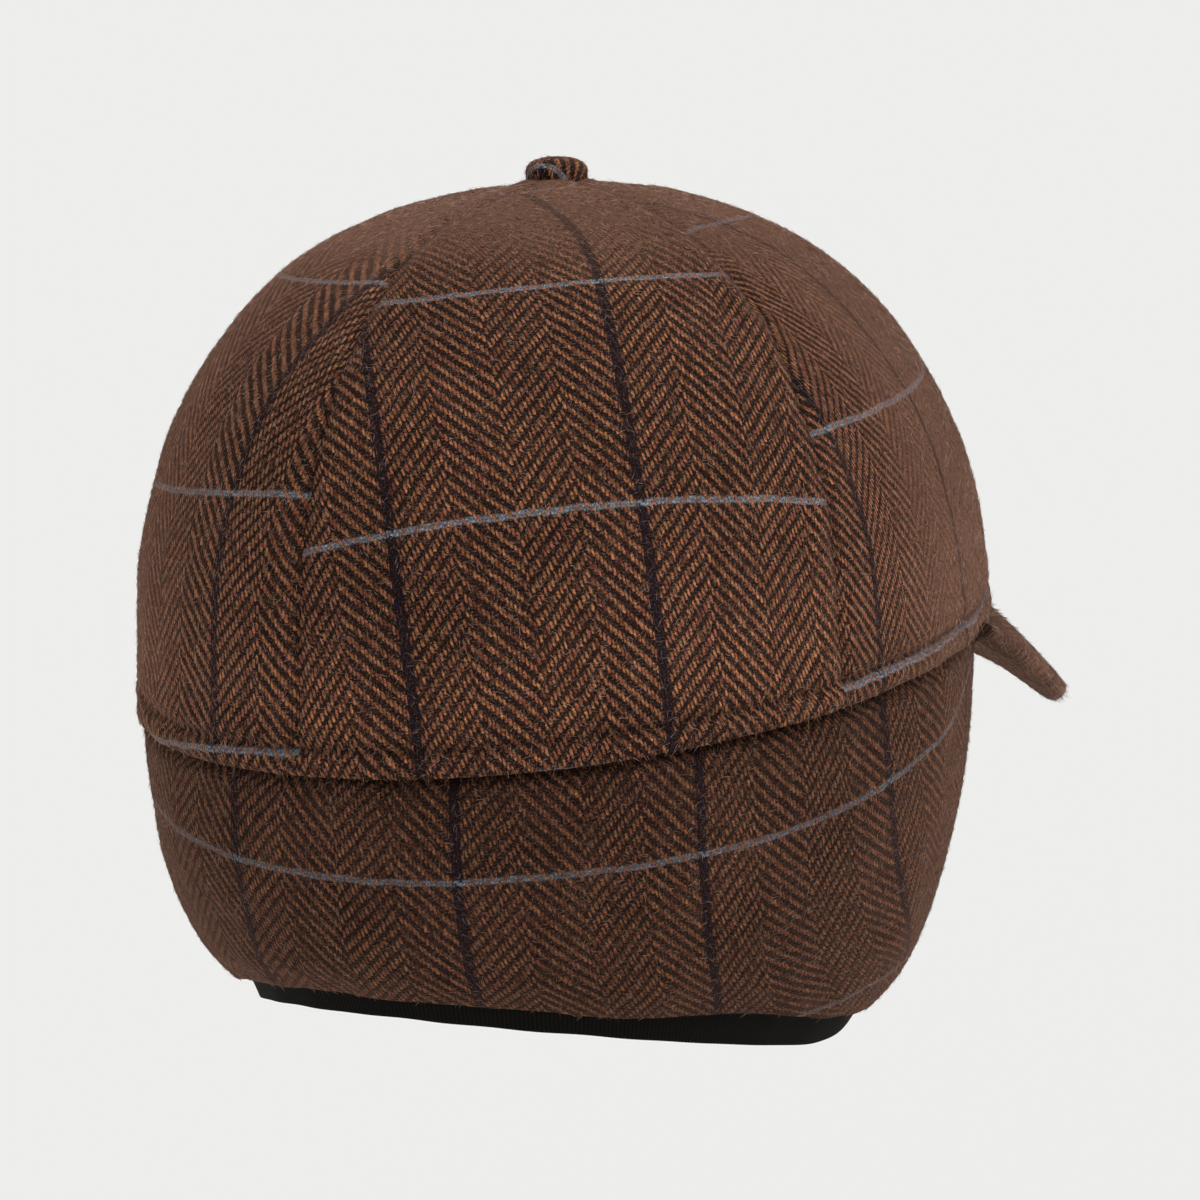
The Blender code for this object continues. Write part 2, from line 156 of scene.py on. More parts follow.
class CrownSettings(bpy.types.PropertyGroup):
    """Sizes of the panelled crown and of its hem."""

    half_length: length("Half length", 0.1056, "From the middle to the back of the widest level")
    half_width: length("Half width", 0.0860, "From the middle to a side of the widest level")
    height: length("Height", 0.0972, "From the widest level to the top")
    roundness: number("Roundness", 2.27, "Power of the dome's profile; 2 is an ellipse")
    lean_back: length("Lean back", 0.0042, "How far the top lies behind the middle")
    widest: length("Widest level", 0.0029, "Height of the widest level above the origin")
    wall: length("Wall", 0.0024, "Thickness of the cloth")
    hem_pitch: length("Hem pitch", 0.0134, "How far the hem falls at the back and rises in front")
    hem_depth: length("Hem depth", 0.0052, "From the hem's edge up to the stitched groove")
    hem_roll: length("Hem roll", 0.0008, "How far the rolled hem stands out")
    groove: length("Groove", 0.0009, "Depth of the stitched groove")
    groove_width: length("Groove width", 0.0011, "Half width of the stitched groove")
    pucker: length("Pucker", 0.00036, "Height of the puckers beside the stitches")
    seam_dip: length("Seam dip", 0.0006, "How deep the cloth turns in at a panel seam")
    seam_reach: length("Seam reach", 0.0017, "Half width of the dip at a panel seam")
    seam_swell: length("Seam swell", 0.00018, "How far the turned-in cloth lifts each side of a seam")
    unevenness: length("Unevenness", 0.00045, "Height of the soft waves in the cloth")
    top_hole: length("Top hole", 0.0033, "Radius of the hole under the button")
    top_rise: length("Top rise", 0.0012, "How far the cloth is drawn up against the button")
    top_edge: length("Top edge", 0.0060, "How far from the middle the drawn-up cloth starts to fall")
    top_reach: length("Top reach", 0.0042, "Width over which it falls back to the crown")
    # Strength of the painted shade in the seams and the stitched groove
    painted_shade: number("Painted Shade", 0.42, "How dark the cloth is in a seam or a stitched line")
    edge_round: length("Edge round", 0.0010, "Radius of the cut edges")
    # Makes the cloth just above the hem lighter
    hem_lightening: number("Hem lightening", 0.26, "How much lighter the rubbed cloth above the hem is")
    top_bend: length("Top bend", 0.0100, "How far the warp bends aside at the button")
    # Where the painted sheen lies: over the top, and past a turn on the right side
    sheen_top: number("Sheen top", 0.42, "Share of the width that the worn top takes")
    sheen_side: turn_angle("Sheen side", 78.0, "Turn to the right past which the cloth is worn")
    grid: length("Grid", 0.0018, "Spacing of the cloth's grid")


class BandSettings(bpy.types.PropertyGroup):
    """Sizes of the band over the ears and the neck."""

    wall: length("Wall", 0.0026, "Thickness of the cloth")
    tuck: length("Tuck", 0.0082, "How far the band reaches up inside the hem")
    tuck_gap: length("Tuck gap", 0.0008, "Space between the hem's wall and the tucked band")
    share: number("Share", 0.988, "Size of the band's oval as a share of the crown's")
    bowl_depth: length("Bowl depth", 0.1060, "Depth at which the band's bowl would close")
    bowl_roundness: number("Bowl roundness", 2.48, "Power of the bowl's profile")
    lean_back: length("Lean back", 0.0014, "How far the band leans back on its way down")
    foot_forward: length("Foot forward", 0.0082, "How far the foot is drawn forward again")
    forward_hold: number("Forward hold", 4.0, "How close to the foot the forward draw stays")
    emerge: length("Emerge", 0.0040, "Depth over which the band comes out from under the hem")
    front_drop: length("Front drop", 0.0090, "How far the band hangs below the hem in front")
    curl: length("Curl", 0.0016, "How far the lower edge curls in")
    curl_reach: length("Curl reach", 0.0080, "Height of the curled part")
    flap_depth: length("Flap depth", 0.0780, "How far below the middle the ear flaps end")
    back_share: number("Back share", 0.787, "Depth at the neck as a share of the flap's")
    low_turn: turn_angle("Low turn", 115.0, "Turn of the flap's lowest point")
    lift: length("Lift", 0.0027, "How far the lower edge is drawn up beside the ear")
    lift_turn: turn_angle("Lift turn", 64.0, "Turn at which the lower edge is drawn up most")
    lift_width: turn_angle("Lift width", 16.0, "Half width of the drawn-up part")
    corner_turn: turn_angle("Corner turn", 108.0, "Turn at which the flap's corner begins")
    front_turn: turn_angle("Front turn", 137.0, "Turn at which the flap ends in front")
    corner_roundness: number("Corner roundness", 2.6, "Power of the flap's corner")
    fade_from: turn_angle("Bulge fades from", 92.0, "Turn at which the band starts to lie inside the hem")
    fade_to: turn_angle("Bulge fades to", 112.0, "Turn from which the band lies inside the hem")
    # Painted shadow of the hem on the band
    hem_shadow: number("Hem shadow", 0.38, "How dark the band is where it comes out from under the hem")
    unevenness: length("Unevenness", 0.0006, "Height of the soft waves in the cloth")
    edge_round: length("Edge round", 0.0011, "Radius of the cut edges")
    grid: length("Grid", 0.0019, "Spacing of the cloth's grid")


class TapeSettings(bpy.types.PropertyGroup):
    """Sizes of the ribbed tape."""

    wall: length("Wall", 0.0011, "Thickness of the tape")
    gap: length("Gap", 0.0003, "Space between the band and the tape")
    tuck: length("Tuck", 0.0050, "How far the tape reaches up inside the band")
    shown_back: length("Shown at the back", 0.0076, "How much of the tape shows at the neck")
    shown_ear: length("Shown at the ears", 0.0098, "How much of the tape shows at the ears")
    shown_hold: number("Shown hold", 3.0, "How long the narrow part at the neck holds")
    end_turn: turn_angle("End turn", 127.0, "Turn at which the tape ends in front")
    taper_turn: turn_angle("Taper turn", 84.0, "Turn past which less of the tape shows")
    taper: number("Taper", 0.80, "Share of the shown tape that is lost at its end")
    lean_in: number("Lean in", 0.45, "How far the shown part leans in for each metre down")
    rib: length("Rib", 0.0011, "Spacing of the ribs")
    unevenness: length("Unevenness", 0.0002, "Height of the soft waves in the tape")
    edge_round: length("Edge round", 0.0003, "Radius of the cut edges")


class PeakSettings(bpy.types.PropertyGroup):
    """Sizes of the peak."""

    half_turn: turn_angle("Half turn", 65.2, "From the middle of the front to the peak's corner")
    length: length("Length", 0.0613, "From the hem in front to the rim")
    side_inset: length("Side inset", 0.0003, "How far the sides lie inside the corner")
    corner_share: number("Corner share", 0.06, "Share of each half in which the corner turns")
    thickness: length("Thickness", 0.0046, "Thickness of the covered board")
    drop: length("Drop", 0.0372, "How far the sides of the rim fall below the corners")
    drop_hold: number("Drop hold", 1.02, "How far round the rim the fall holds")
    arch: length("Arch", 0.0205, "How far the rim rises again to the middle of the front")
    arch_hold: number("Arch hold", 5.5, "How close to the middle the arch stays")
    corner_drop: length("Corner drop", 0.0016, "How much lower the rim lies away from the corner")
    corner_reach: number("Corner reach", 0.35, "Share of each half over which it gets lower")
    camber: length("Camber", 0.0008, "Height of the rise between the hem and the rim")
    side_lean: number("Side lean", 1.15, "Slope of the board's sides, across")
    front_lean: number("Front lean", 0.55, "Slope of the board, to the front")
    root_shade: number("Root shade", 0.60, "How dark the cloth is beside the hem")
    gap: length("Gap", 0.0003, "Space between the peak and the hem")
    unevenness: length("Unevenness", 0.00018, "Height of the soft waves in the board")
    grid: length("Grid", 0.0018, "Spacing of the cloth's grid")


class ButtonSettings(bpy.types.PropertyGroup):
    """Sizes of the covered button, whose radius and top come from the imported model."""

    radius: length("Radius", (BUTTON_HIGH.x - BUTTON_LOW.x) / 2.0, "Radius of the button")
    top: length("Top", BUTTON_HIGH.z, "Height of the button's top")
    height: length("Height", 0.0058, "From the crown to the button's top")
    edge_share: number("Edge share", 0.50, "Share of the height that the straight side takes")
    dome_hold: number("Dome hold", 0.86, "Power of the dome's outline; 1 is an ellipse")
    foot_inset: number("Foot inset", 0.06, "Share of the radius that the side draws in at its foot")
    foot_drop: length("Foot drop", 0.0010, "How far the side goes down past the crown")
    closed_at: length("Closed at", 0.0014, "How far below the crown the button is closed")
    pleat: length("Pleat", 0.00022, "Height of the gathers at the foot")
    pleats: count("Pleats", 13, "Number of gathers round the foot")


class TweedSettings(bpy.types.PropertyGroup):
    """Yarns, pattern and colours of the tweed."""

    warp_pitch: length("Warp pitch", 0.00080, "Spacing of the warp yarns")
    weft_pitch: length("Weft pitch", 0.000835, "Spacing of the weft yarns")
    column_warps: count("Column", 16, "Warp yarns in one column of the herringbone")
    window_warps: count("Window width", 64, "Warp yarns from one navy line to the next")
    window_wefts: count("Window height", 62, "Weft yarns from one pale line to the next")
    navy_warps: count("Navy yarns", 3, "Warp yarns in a navy line")
    pale_wefts: number("Pale yarns", 1.6, "Weft yarns in a pale line")
    light: colour("Light warp", (0.345, 0.142, 0.062, 1.0), "The lightest warp yarns")
    deep: colour("Deep warp", (0.090, 0.032, 0.015, 1.0), "The darkest warp yarns")
    red: colour("Red warp", (0.170, 0.046, 0.025, 1.0), "The reddish warp yarns")
    weft: colour("Weft", (0.012, 0.0062, 0.0042, 1.0), "The dark weft yarns")
    navy: colour("Navy", (0.0055, 0.0065, 0.017, 1.0), "The navy warp yarns")
    pale: colour("Pale blue", (0.220, 0.260, 0.300, 1.0), "The pale weft yarns")
    # Also the colour of the painted sheen where the weave is hidden
    haze: colour("Haze", (0.082, 0.041, 0.026, 1.0), "The felted fibres over the yarns")
    fibre: colour("Fibre", (0.290, 0.190, 0.140, 1.0), "Stray light fibres")
    nap_deep: colour("Deep nap", (0.060, 0.026, 0.016, 1.0), "The darkest fibres that stand out")
    nap_light: colour("Light nap", (0.440, 0.275, 0.205, 1.0), "The lightest fibres that stand out")
    nap_length: length("Nap length", 0.0016, "Length of a fibre that stands out")
    nap_width: length("Nap width", 0.00011, "Width of a fibre at its root")
    nap_lift: turn_angle("Nap lift", 22.0, "Steepest angle of a fibre")
    nap_density: number("Nap density", 1.3, "Fibres on each square millimetre")
    sheen: colour("Sheen", (0.36, 0.200, 0.145, 1.0), "Light caught by the loose fibres at a slant")
    relief: length("Relief", 0.00022, "Height of the yarns")


class StageSettings(bpy.types.PropertyGroup):
    """Floor, light and camera."""

    floor_drop: length("Floor drop", 0.60, "How far the floor lies below the cap")
    floor_size: length("Floor size", 400.0, "Width of the floor")
    floor_colour: colour("Floor", (0.800, 0.800, 0.786, 1.0), "Colour of the floor")
    world_strength: number("Room light", 0.15, "Strength of the light from all round")
    key_strength: number("Key light", 2.9, "Strength of the main light")
    key_side: turn_angle("Key side", 76.0, "How far to the right of the camera the main light stands")
    key_height: turn_angle("Key height", 45.0, "How high the main light stands")
    fill_strength: number("Fill light", 1.65, "Strength of the second light")
    fill_side: turn_angle("Fill side", -20.0, "How far to the right of the camera it stands")
    fill_height: turn_angle("Fill height", 30.0, "How high it stands")
    softness: turn_angle("Softness", 50.0, "Apparent width of the lights")
    azimuth: turn_angle("Camera azimuth", 211.07, "Where the camera stands round the cap")
    elevation: turn_angle("Camera elevation", 7.44, "How high the camera looks down from")
    distance: length("Camera distance", 1.121, "From the camera to the cap's middle")
    field: turn_angle("Field of view", 13.188, "Width of the camera's view")
    roll: turn_angle("Camera roll", -0.373, "Tilt of the camera about its own line of sight")
    shift_x: number("Shift across", 0.02504, "Share of the view that the camera shifts across")
    shift_y: number("Shift up", 0.02846, "Share of the view that the camera shifts up")


class CapSettings(bpy.types.PropertyGroup):
    """Everything about the cap that a user would change."""

    crown: PointerProperty(type=CrownSettings)
    band: PointerProperty(type=BandSettings)
    tape: PointerProperty(type=TapeSettings)
    peak: PointerProperty(type=PeakSettings)
    button: PointerProperty(type=ButtonSettings)
    tweed: PointerProperty(type=TweedSettings)
    stage: PointerProperty(type=StageSettings)


# Shapes, all worked out on arrays

def smooth_step(value, start, end):
    """0 before start, 1 after end, and a smooth rise between them."""
    share = np.clip((value - start) / (end - start), 0.0, 1.0)
    return share * share * (3.0 - 2.0 * share)


def bump(value, middle, width):
    """A round bump of height 1."""
    return np.exp(-((value - middle) / width) ** 2)


def soft_waves(points, wavelength, seed, waves=9):
    """Gentle unevenness from a few crossing waves, about -1 to 1."""
    chance = np.random.default_rng(seed)
    total = np.zeros(points.shape[:-1])
    for _ in range(waves):
        direction = chance.normal(size=3)
        direction /= np.linalg.norm(direction)
        stretch = wavelength * chance.uniform(0.65, 1.7)
        total += np.sin(points @ direction * 2.0 * pi / stretch + chance.uniform(0.0, 2.0 * pi))
    return total / waves ** 0.5 / 1.4


def hem_height(crown, turn):
    """Height of the crown's lower edge."""
    return -crown.hem_pitch * np.cos(turn)


def arc_rate(crown, turn):
    """Length of the widest oval for each radian of turn."""
    return np.hypot(crown.half_width * np.cos(turn), crown.half_length * np.sin(turn))


def arc_tables(crown):
    """Turns from the left front round the back to the right front, and the arc from the back to each."""
    turns = np.linspace(-pi, pi, 2881)
    middles = (turns[1:] + turns[:-1]) / 2.0
    arcs = np.concatenate(([0.0], np.cumsum(arc_rate(crown, middles) * np.diff(turns))))
    return turns, arcs - arcs[len(arcs) // 2]


def oval(crown, turn, share, lean, height, inset):
    """Points of an oval round the head, a share of the crown's size and then inset along its normal."""
    out_x = -np.sin(turn) / crown.half_width
    out_y = np.cos(turn) / crown.half_length
    size = np.hypot(out_x, out_y)
    x = -crown.half_width * share * np.sin(turn) - inset * out_x / size
    y = crown.half_length * share * np.cos(turn) + lean - inset * out_y / size
    return np.stack(np.broadcast_arrays(x, y, height), axis=-1)


def climb_angle(crown, height):
    """The crown's profile angle at a height: 0 at the widest level and pi / 2 at the top."""
    share = (height - crown.widest) / crown.height
    lifted = np.minimum(np.abs(share), 1.0) ** (crown.roundness / 2.0)
    return np.sign(share) * np.arctan2(lifted, np.sqrt(1.0 - lifted * lifted))


def crown_share(crown, climb):
    """Size of the crown's oval at a profile angle, as a share of the widest."""
    return np.where(climb > 0.0, np.maximum(np.cos(climb), 0.0) ** (2.0 / crown.roundness), 1.0)


def crown_surface(crown, turn, climb):
    """Points on the crown's outer face."""
    rise = np.abs(np.sin(climb)) ** (2.0 / crown.roundness)
    lean = np.where(climb > 0.0, crown.lean_back * rise * rise, 0.0)
    height = crown.widest + np.sign(climb) * crown.height * rise
    return oval(crown, turn, crown_share(crown, climb), lean, height, 0.0)


def flap_depth(band, turn):
    """How far below the middle the band ends."""
    swing = (1.0 - np.cos(pi * np.minimum(np.abs(turn), band.low_turn) / band.low_turn)) / 2.0
    return band.flap_depth * (band.back_share + (1.0 - band.back_share) * swing)


def flap_lift(band, turn):
    """How far the band's lower edge is drawn up beside the ear."""
    return band.lift * bump(np.abs(turn), band.lift_turn, band.lift_width)


def band_foot(crown, band, turn):
    """Height of the band's lower edge, with the rounded corner of the ear flap."""
    narrow = hem_height(crown, turn) - band.front_drop
    depth = flap_lift(band, turn) - flap_depth(band, turn)
    across = np.clip((np.abs(turn) - band.corner_turn) / (band.front_turn - band.corner_turn), 0.0, 1.0)
    kept = (1.0 - across ** band.corner_roundness) ** (1.0 / band.corner_roundness)
    return narrow + (depth - narrow) * kept


def band_surface(crown, band, turn, height):
    """Points on the band's outer face."""
    below = np.maximum(crown.widest - height, 0.0)
    bowl = np.minimum(below / band.bowl_depth, 0.98) ** band.bowl_roundness
    share = band.share * (1.0 - bowl) ** (1.0 / band.bowl_roundness)
    share = share * crown_share(crown, climb_angle(crown, height))
    depth_share = below / band.flap_depth
    lean = band.lean_back * depth_share - band.foot_forward * depth_share ** band.forward_hold
    tucked = crown.wall + band.tuck_gap - crown.half_width * (1.0 - band.share)
    below_hem = smooth_step(hem_height(crown, turn) - height, 0.0, band.emerge)
    bulge = below_hem * (1.0 - smooth_step(np.abs(turn), band.fade_from, band.fade_to))
    to_foot = np.clip((height - band_foot(crown, band, turn)) / band.curl_reach, 0.0, 1.0)
    curl = np.where(np.abs(turn) > band.front_turn, 0.0, band.curl * (1.0 - to_foot) ** 2)
    return oval(crown, turn, share, lean, height, tucked * (1.0 - bulge) + curl)


def grid_normals(points):
    """Unit normals of a grid of points, rows along the first axis."""
    along = np.gradient(points, axis=1)
    up = np.gradient(points, axis=0)
    normals = np.cross(along, up)
    return normals / np.maximum(np.linalg.norm(normals, axis=-1, keepdims=True), 1e-12)


def outward(points, normals, inside):
    """The normals, turned to face away from a point."""
    facing = np.sum(normals * (points - np.array(inside)))
    return normals if facing > 0.0 else -normals


def lengths_up(points):
    """Length along each column of a grid, from its first row."""
    steps = np.linalg.norm(np.diff(points, axis=0), axis=-1)
    return np.concatenate((np.zeros((1, points.shape[1])), np.cumsum(steps, axis=0)))


def grid_sheet(points, normals, cloth, painted_shade=None, painted_sheen=None):
    """A bmesh grid laid on an array of points, with its cloth coordinates, painted shade and painted sheen.
    """
    rows, columns = points.shape[:2]
    sheet = bmesh.new()
    bmesh.ops.create_grid(sheet, x_segments=columns - 1, y_segments=rows - 1, size=0.5)
    shade = sheet.verts.layers.float.new(PAINTED_SHADE)
    haze_mask = sheet.verts.layers.float.new(PAINTED_SHEEN)
    places = {}
    for vertex in sheet.verts:
        column = round((vertex.co.x + 0.5) * (columns - 1))
        row = round((vertex.co.y + 0.5) * (rows - 1))
        places[vertex] = (row, column)
        vertex.co = points[row, column]
        vertex[shade] = 0.0 if painted_shade is None else painted_shade[row, column]
        vertex[haze_mask] = 0.0 if painted_sheen is None else painted_sheen[row, column]
    layer = sheet.loops.layers.uv.new(CLOTH_MAP)
    for face in sheet.faces:
        for loop in face.loops:
            loop[layer].uv = cloth[places[loop.vert]]
    sheet.normal_update()
    sheet.faces.ensure_lookup_table()
    middle = sheet.faces[len(sheet.faces) // 2]
    if middle.normal.dot(Vector(normals[places[middle.verts[0]]])) < 0.0:
        bmesh.ops.reverse_faces(sheet, faces=sheet.faces)
    return sheet


def ride_piece(name, mesh):
    """Put a mesh in the scene as a piece that rides on the cap."""
    piece = bpy.data.objects.new(name, mesh)
    bpy.context.scene.collection.objects.link(piece)
    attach(piece, BODY)
    return piece


def add_piece(name, model, material, replaced):
    """Turn a bmesh into a piece that stands for its plain solid."""
    mesh = bpy.data.meshes.new(name)
    model.to_mesh(mesh)
    model.free()
    mesh.materials.append(material)
    mesh.shade_smooth()
    piece = ride_piece(name, mesh)
    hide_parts(replaced)
    return piece


def thicken(piece, wall):
    """Give a sheet its wall, on the inner side."""
    solidify = piece.modifiers.new("Wall", "SOLIDIFY")
    solidify.thickness = wall
    solidify.offset = -1.0
    solidify.use_rim = True


def round_edges(piece, width, segments, angle=50.0):
    """Round the cut edges of a wall."""
    bevel = piece.modifiers.new("Rounded edges", "BEVEL")
    bevel.width = width
    bevel.segments = segments
    bevel.limit_method = "ANGLE"
    bevel.angle_limit = radians(angle)


def nap_piece(context, node, points, normals, brightness, seed):
    """Short fibres that stand out of a cloth, as one joined mesh of thin closed spikes."""
    tweed = context.scene.cap.tweed
    chance = np.random.default_rng(seed)
    along = np.gradient(points, axis=1)
    cell_areas = np.linalg.norm(np.cross(along, np.gradient(points, axis=0)), axis=-1)[:-1, :-1]
    total = cell_areas.sum()
    amount = int(total * 1e6 * tweed.nap_density)
    cells = chance.choice(cell_areas.size, amount, p=cell_areas.ravel() / total)
    row, column = np.divmod(cells, cell_areas.shape[1])
    down, right = chance.random((2, amount, 1))
    near = points[row, column] * (1.0 - right) + points[row, column + 1] * right
    far = points[row + 1, column] * (1.0 - right) + points[row + 1, column + 1] * right
    normal = normals[row, column]
    first = along[row, column]
    first /= np.maximum(np.linalg.norm(first, axis=-1, keepdims=True), 1e-9)
    second = np.cross(normal, first)
    heading = chance.uniform(0.0, 2.0 * pi, (amount, 1))
    lift = tweed.nap_lift * chance.random((amount, 1)) ** 1.6
    flat = first * np.cos(heading) + second * np.sin(heading)
    direction = flat * np.cos(lift) + normal * np.sin(lift)
    sideways = np.cross(direction, normal)
    sideways /= np.linalg.norm(sideways, axis=-1, keepdims=True)
    upward = np.cross(sideways, direction)
    root = near * (1.0 - down) + far * down - normal * tweed.nap_width
    half = tweed.nap_width / 2.0
    tip = root + direction * tweed.nap_length * chance.uniform(0.5, 1.4, (amount, 1))
    corners = (root - sideways * half, root + sideways * half, root + upward * tweed.nap_width, tip)
    spikes = np.stack(corners, axis=1).reshape(-1, 3)
    sides = np.array(((0, 1, 2), (0, 3, 1), (1, 3, 2), (2, 3, 0)))
    faces = (np.arange(amount)[:, None, None] * 4 + sides).reshape(-1, 3)
    mesh = bpy.data.meshes.new("nap_" + node)
    mesh.from_pydata(spikes.tolist(), [], faces.tolist())
    tint = mesh.attributes.new(TINT, "FLOAT", "POINT")
    tint.data.foreach_set("value", np.repeat(chance.random(amount), 4))
    # The band's nap gets a darker copy of the nap material as painted shade
    name = "shaded_nap" if brightness < 1.0 else "nap"
    mesh.materials.append(material_named(name, lambda: nap_material(name, tweed, brightness)))
    ride_piece("nap_" + node, mesh)


# Materials

def put(tree, kind, values=None, **options):
    """Add a node, set its options, and link or set its inputs by name or number."""
    node = tree.nodes.new(kind)
    for name, value in options.items():
        setattr(node, name, value)
    for key, value in (values or {}).items():
        if isinstance(value, bpy.types.NodeSocket):
            tree.links.new(value, node.inputs[key])
        else:
            node.inputs[key].default_value = value
    return node


def sums(tree, operation, *values, clamp=False):
    """The output of a Math node."""
    node = put(tree, "ShaderNodeMath", dict(enumerate(values)), operation=operation, use_clamp=clamp)
    return node.outputs[0]


def plus(tree, first, second, clamp=False):
    """The sum of two values."""
    return sums(tree, "ADD", first, second, clamp=clamp)


def times(tree, first, second, clamp=False):
    """The product of two values."""
    return sums(tree, "MULTIPLY", first, second, clamp=clamp)


def scaled(tree, value, factor, offset, clamp=False):
    """A value times a factor, and an offset."""
    return sums(tree, "MULTIPLY_ADD", value, factor, offset, clamp=clamp)


def vectors(tree, operation, *values):
    """The output of a Vector Math node."""
    node = put(tree, "ShaderNodeVectorMath", dict(enumerate(values)), operation=operation)
    return node.outputs[0]


def blended(tree, share, first, second, mode="MIX"):
    """A mix of two colours."""
    values = {0: share, 6: first, 7: second}
    return put(tree, "ShaderNodeMix", values, data_type="RGBA", blend_type=mode).outputs[2]


def stepped(tree, value, start, end, low=0.0, high=1.0):
    """A smooth step from low to high as the value goes from start to end."""
    values = {0: value, 1: start, 2: end, 3: low, 4: high}
    return put(tree, "ShaderNodeMapRange", values, interpolation_type="SMOOTHSTEP").outputs[0]


def noise(tree, vector, scale, detail=2.0, roughness=0.5):
    """A noise texture: its value and its colour."""
    values = {"Vector": vector, "Scale": scale, "Detail": detail, "Roughness": roughness}
    node = put(tree, "ShaderNodeTexNoise", values)
    return node.outputs["Fac"], node.outputs["Color"]


def new_group(name, inputs, outputs):
    """An empty shader group with named sockets, and its input and output nodes."""
    tree = bpy.data.node_groups.new(name, "ShaderNodeTree")
    for socket_name, kind in inputs:
        tree.interface.new_socket(name=socket_name, in_out="INPUT", socket_type=kind)
    for socket_name, kind in outputs:
        tree.interface.new_socket(name=socket_name, in_out="OUTPUT", socket_type=kind)
    return tree, tree.nodes.new("NodeGroupInput").outputs, tree.nodes.new("NodeGroupOutput").inputs


def hairs(tree, vector, scale, width):
    """Thin curling lines, 1 on a line and 0 beside it."""
    value = noise(tree, vector, scale, 1.0)[0]
    from_line = sums(tree, "ABSOLUTE", sums(tree, "SUBTRACT", value, 0.5))
    return stepped(tree, from_line, 0.0, width, 1.0, 0.0)


def wander(tree, vector, scale, reach):
    """Small moves this way and that, up to half the reach."""
    move = vectors(tree, "SUBTRACT", noise(tree, vector, scale)[1], (0.5, 0.5, 0.5))
    return put(tree, "ShaderNodeVectorMath", {0: move, "Scale": reach}, operation="SCALE").outputs[0]


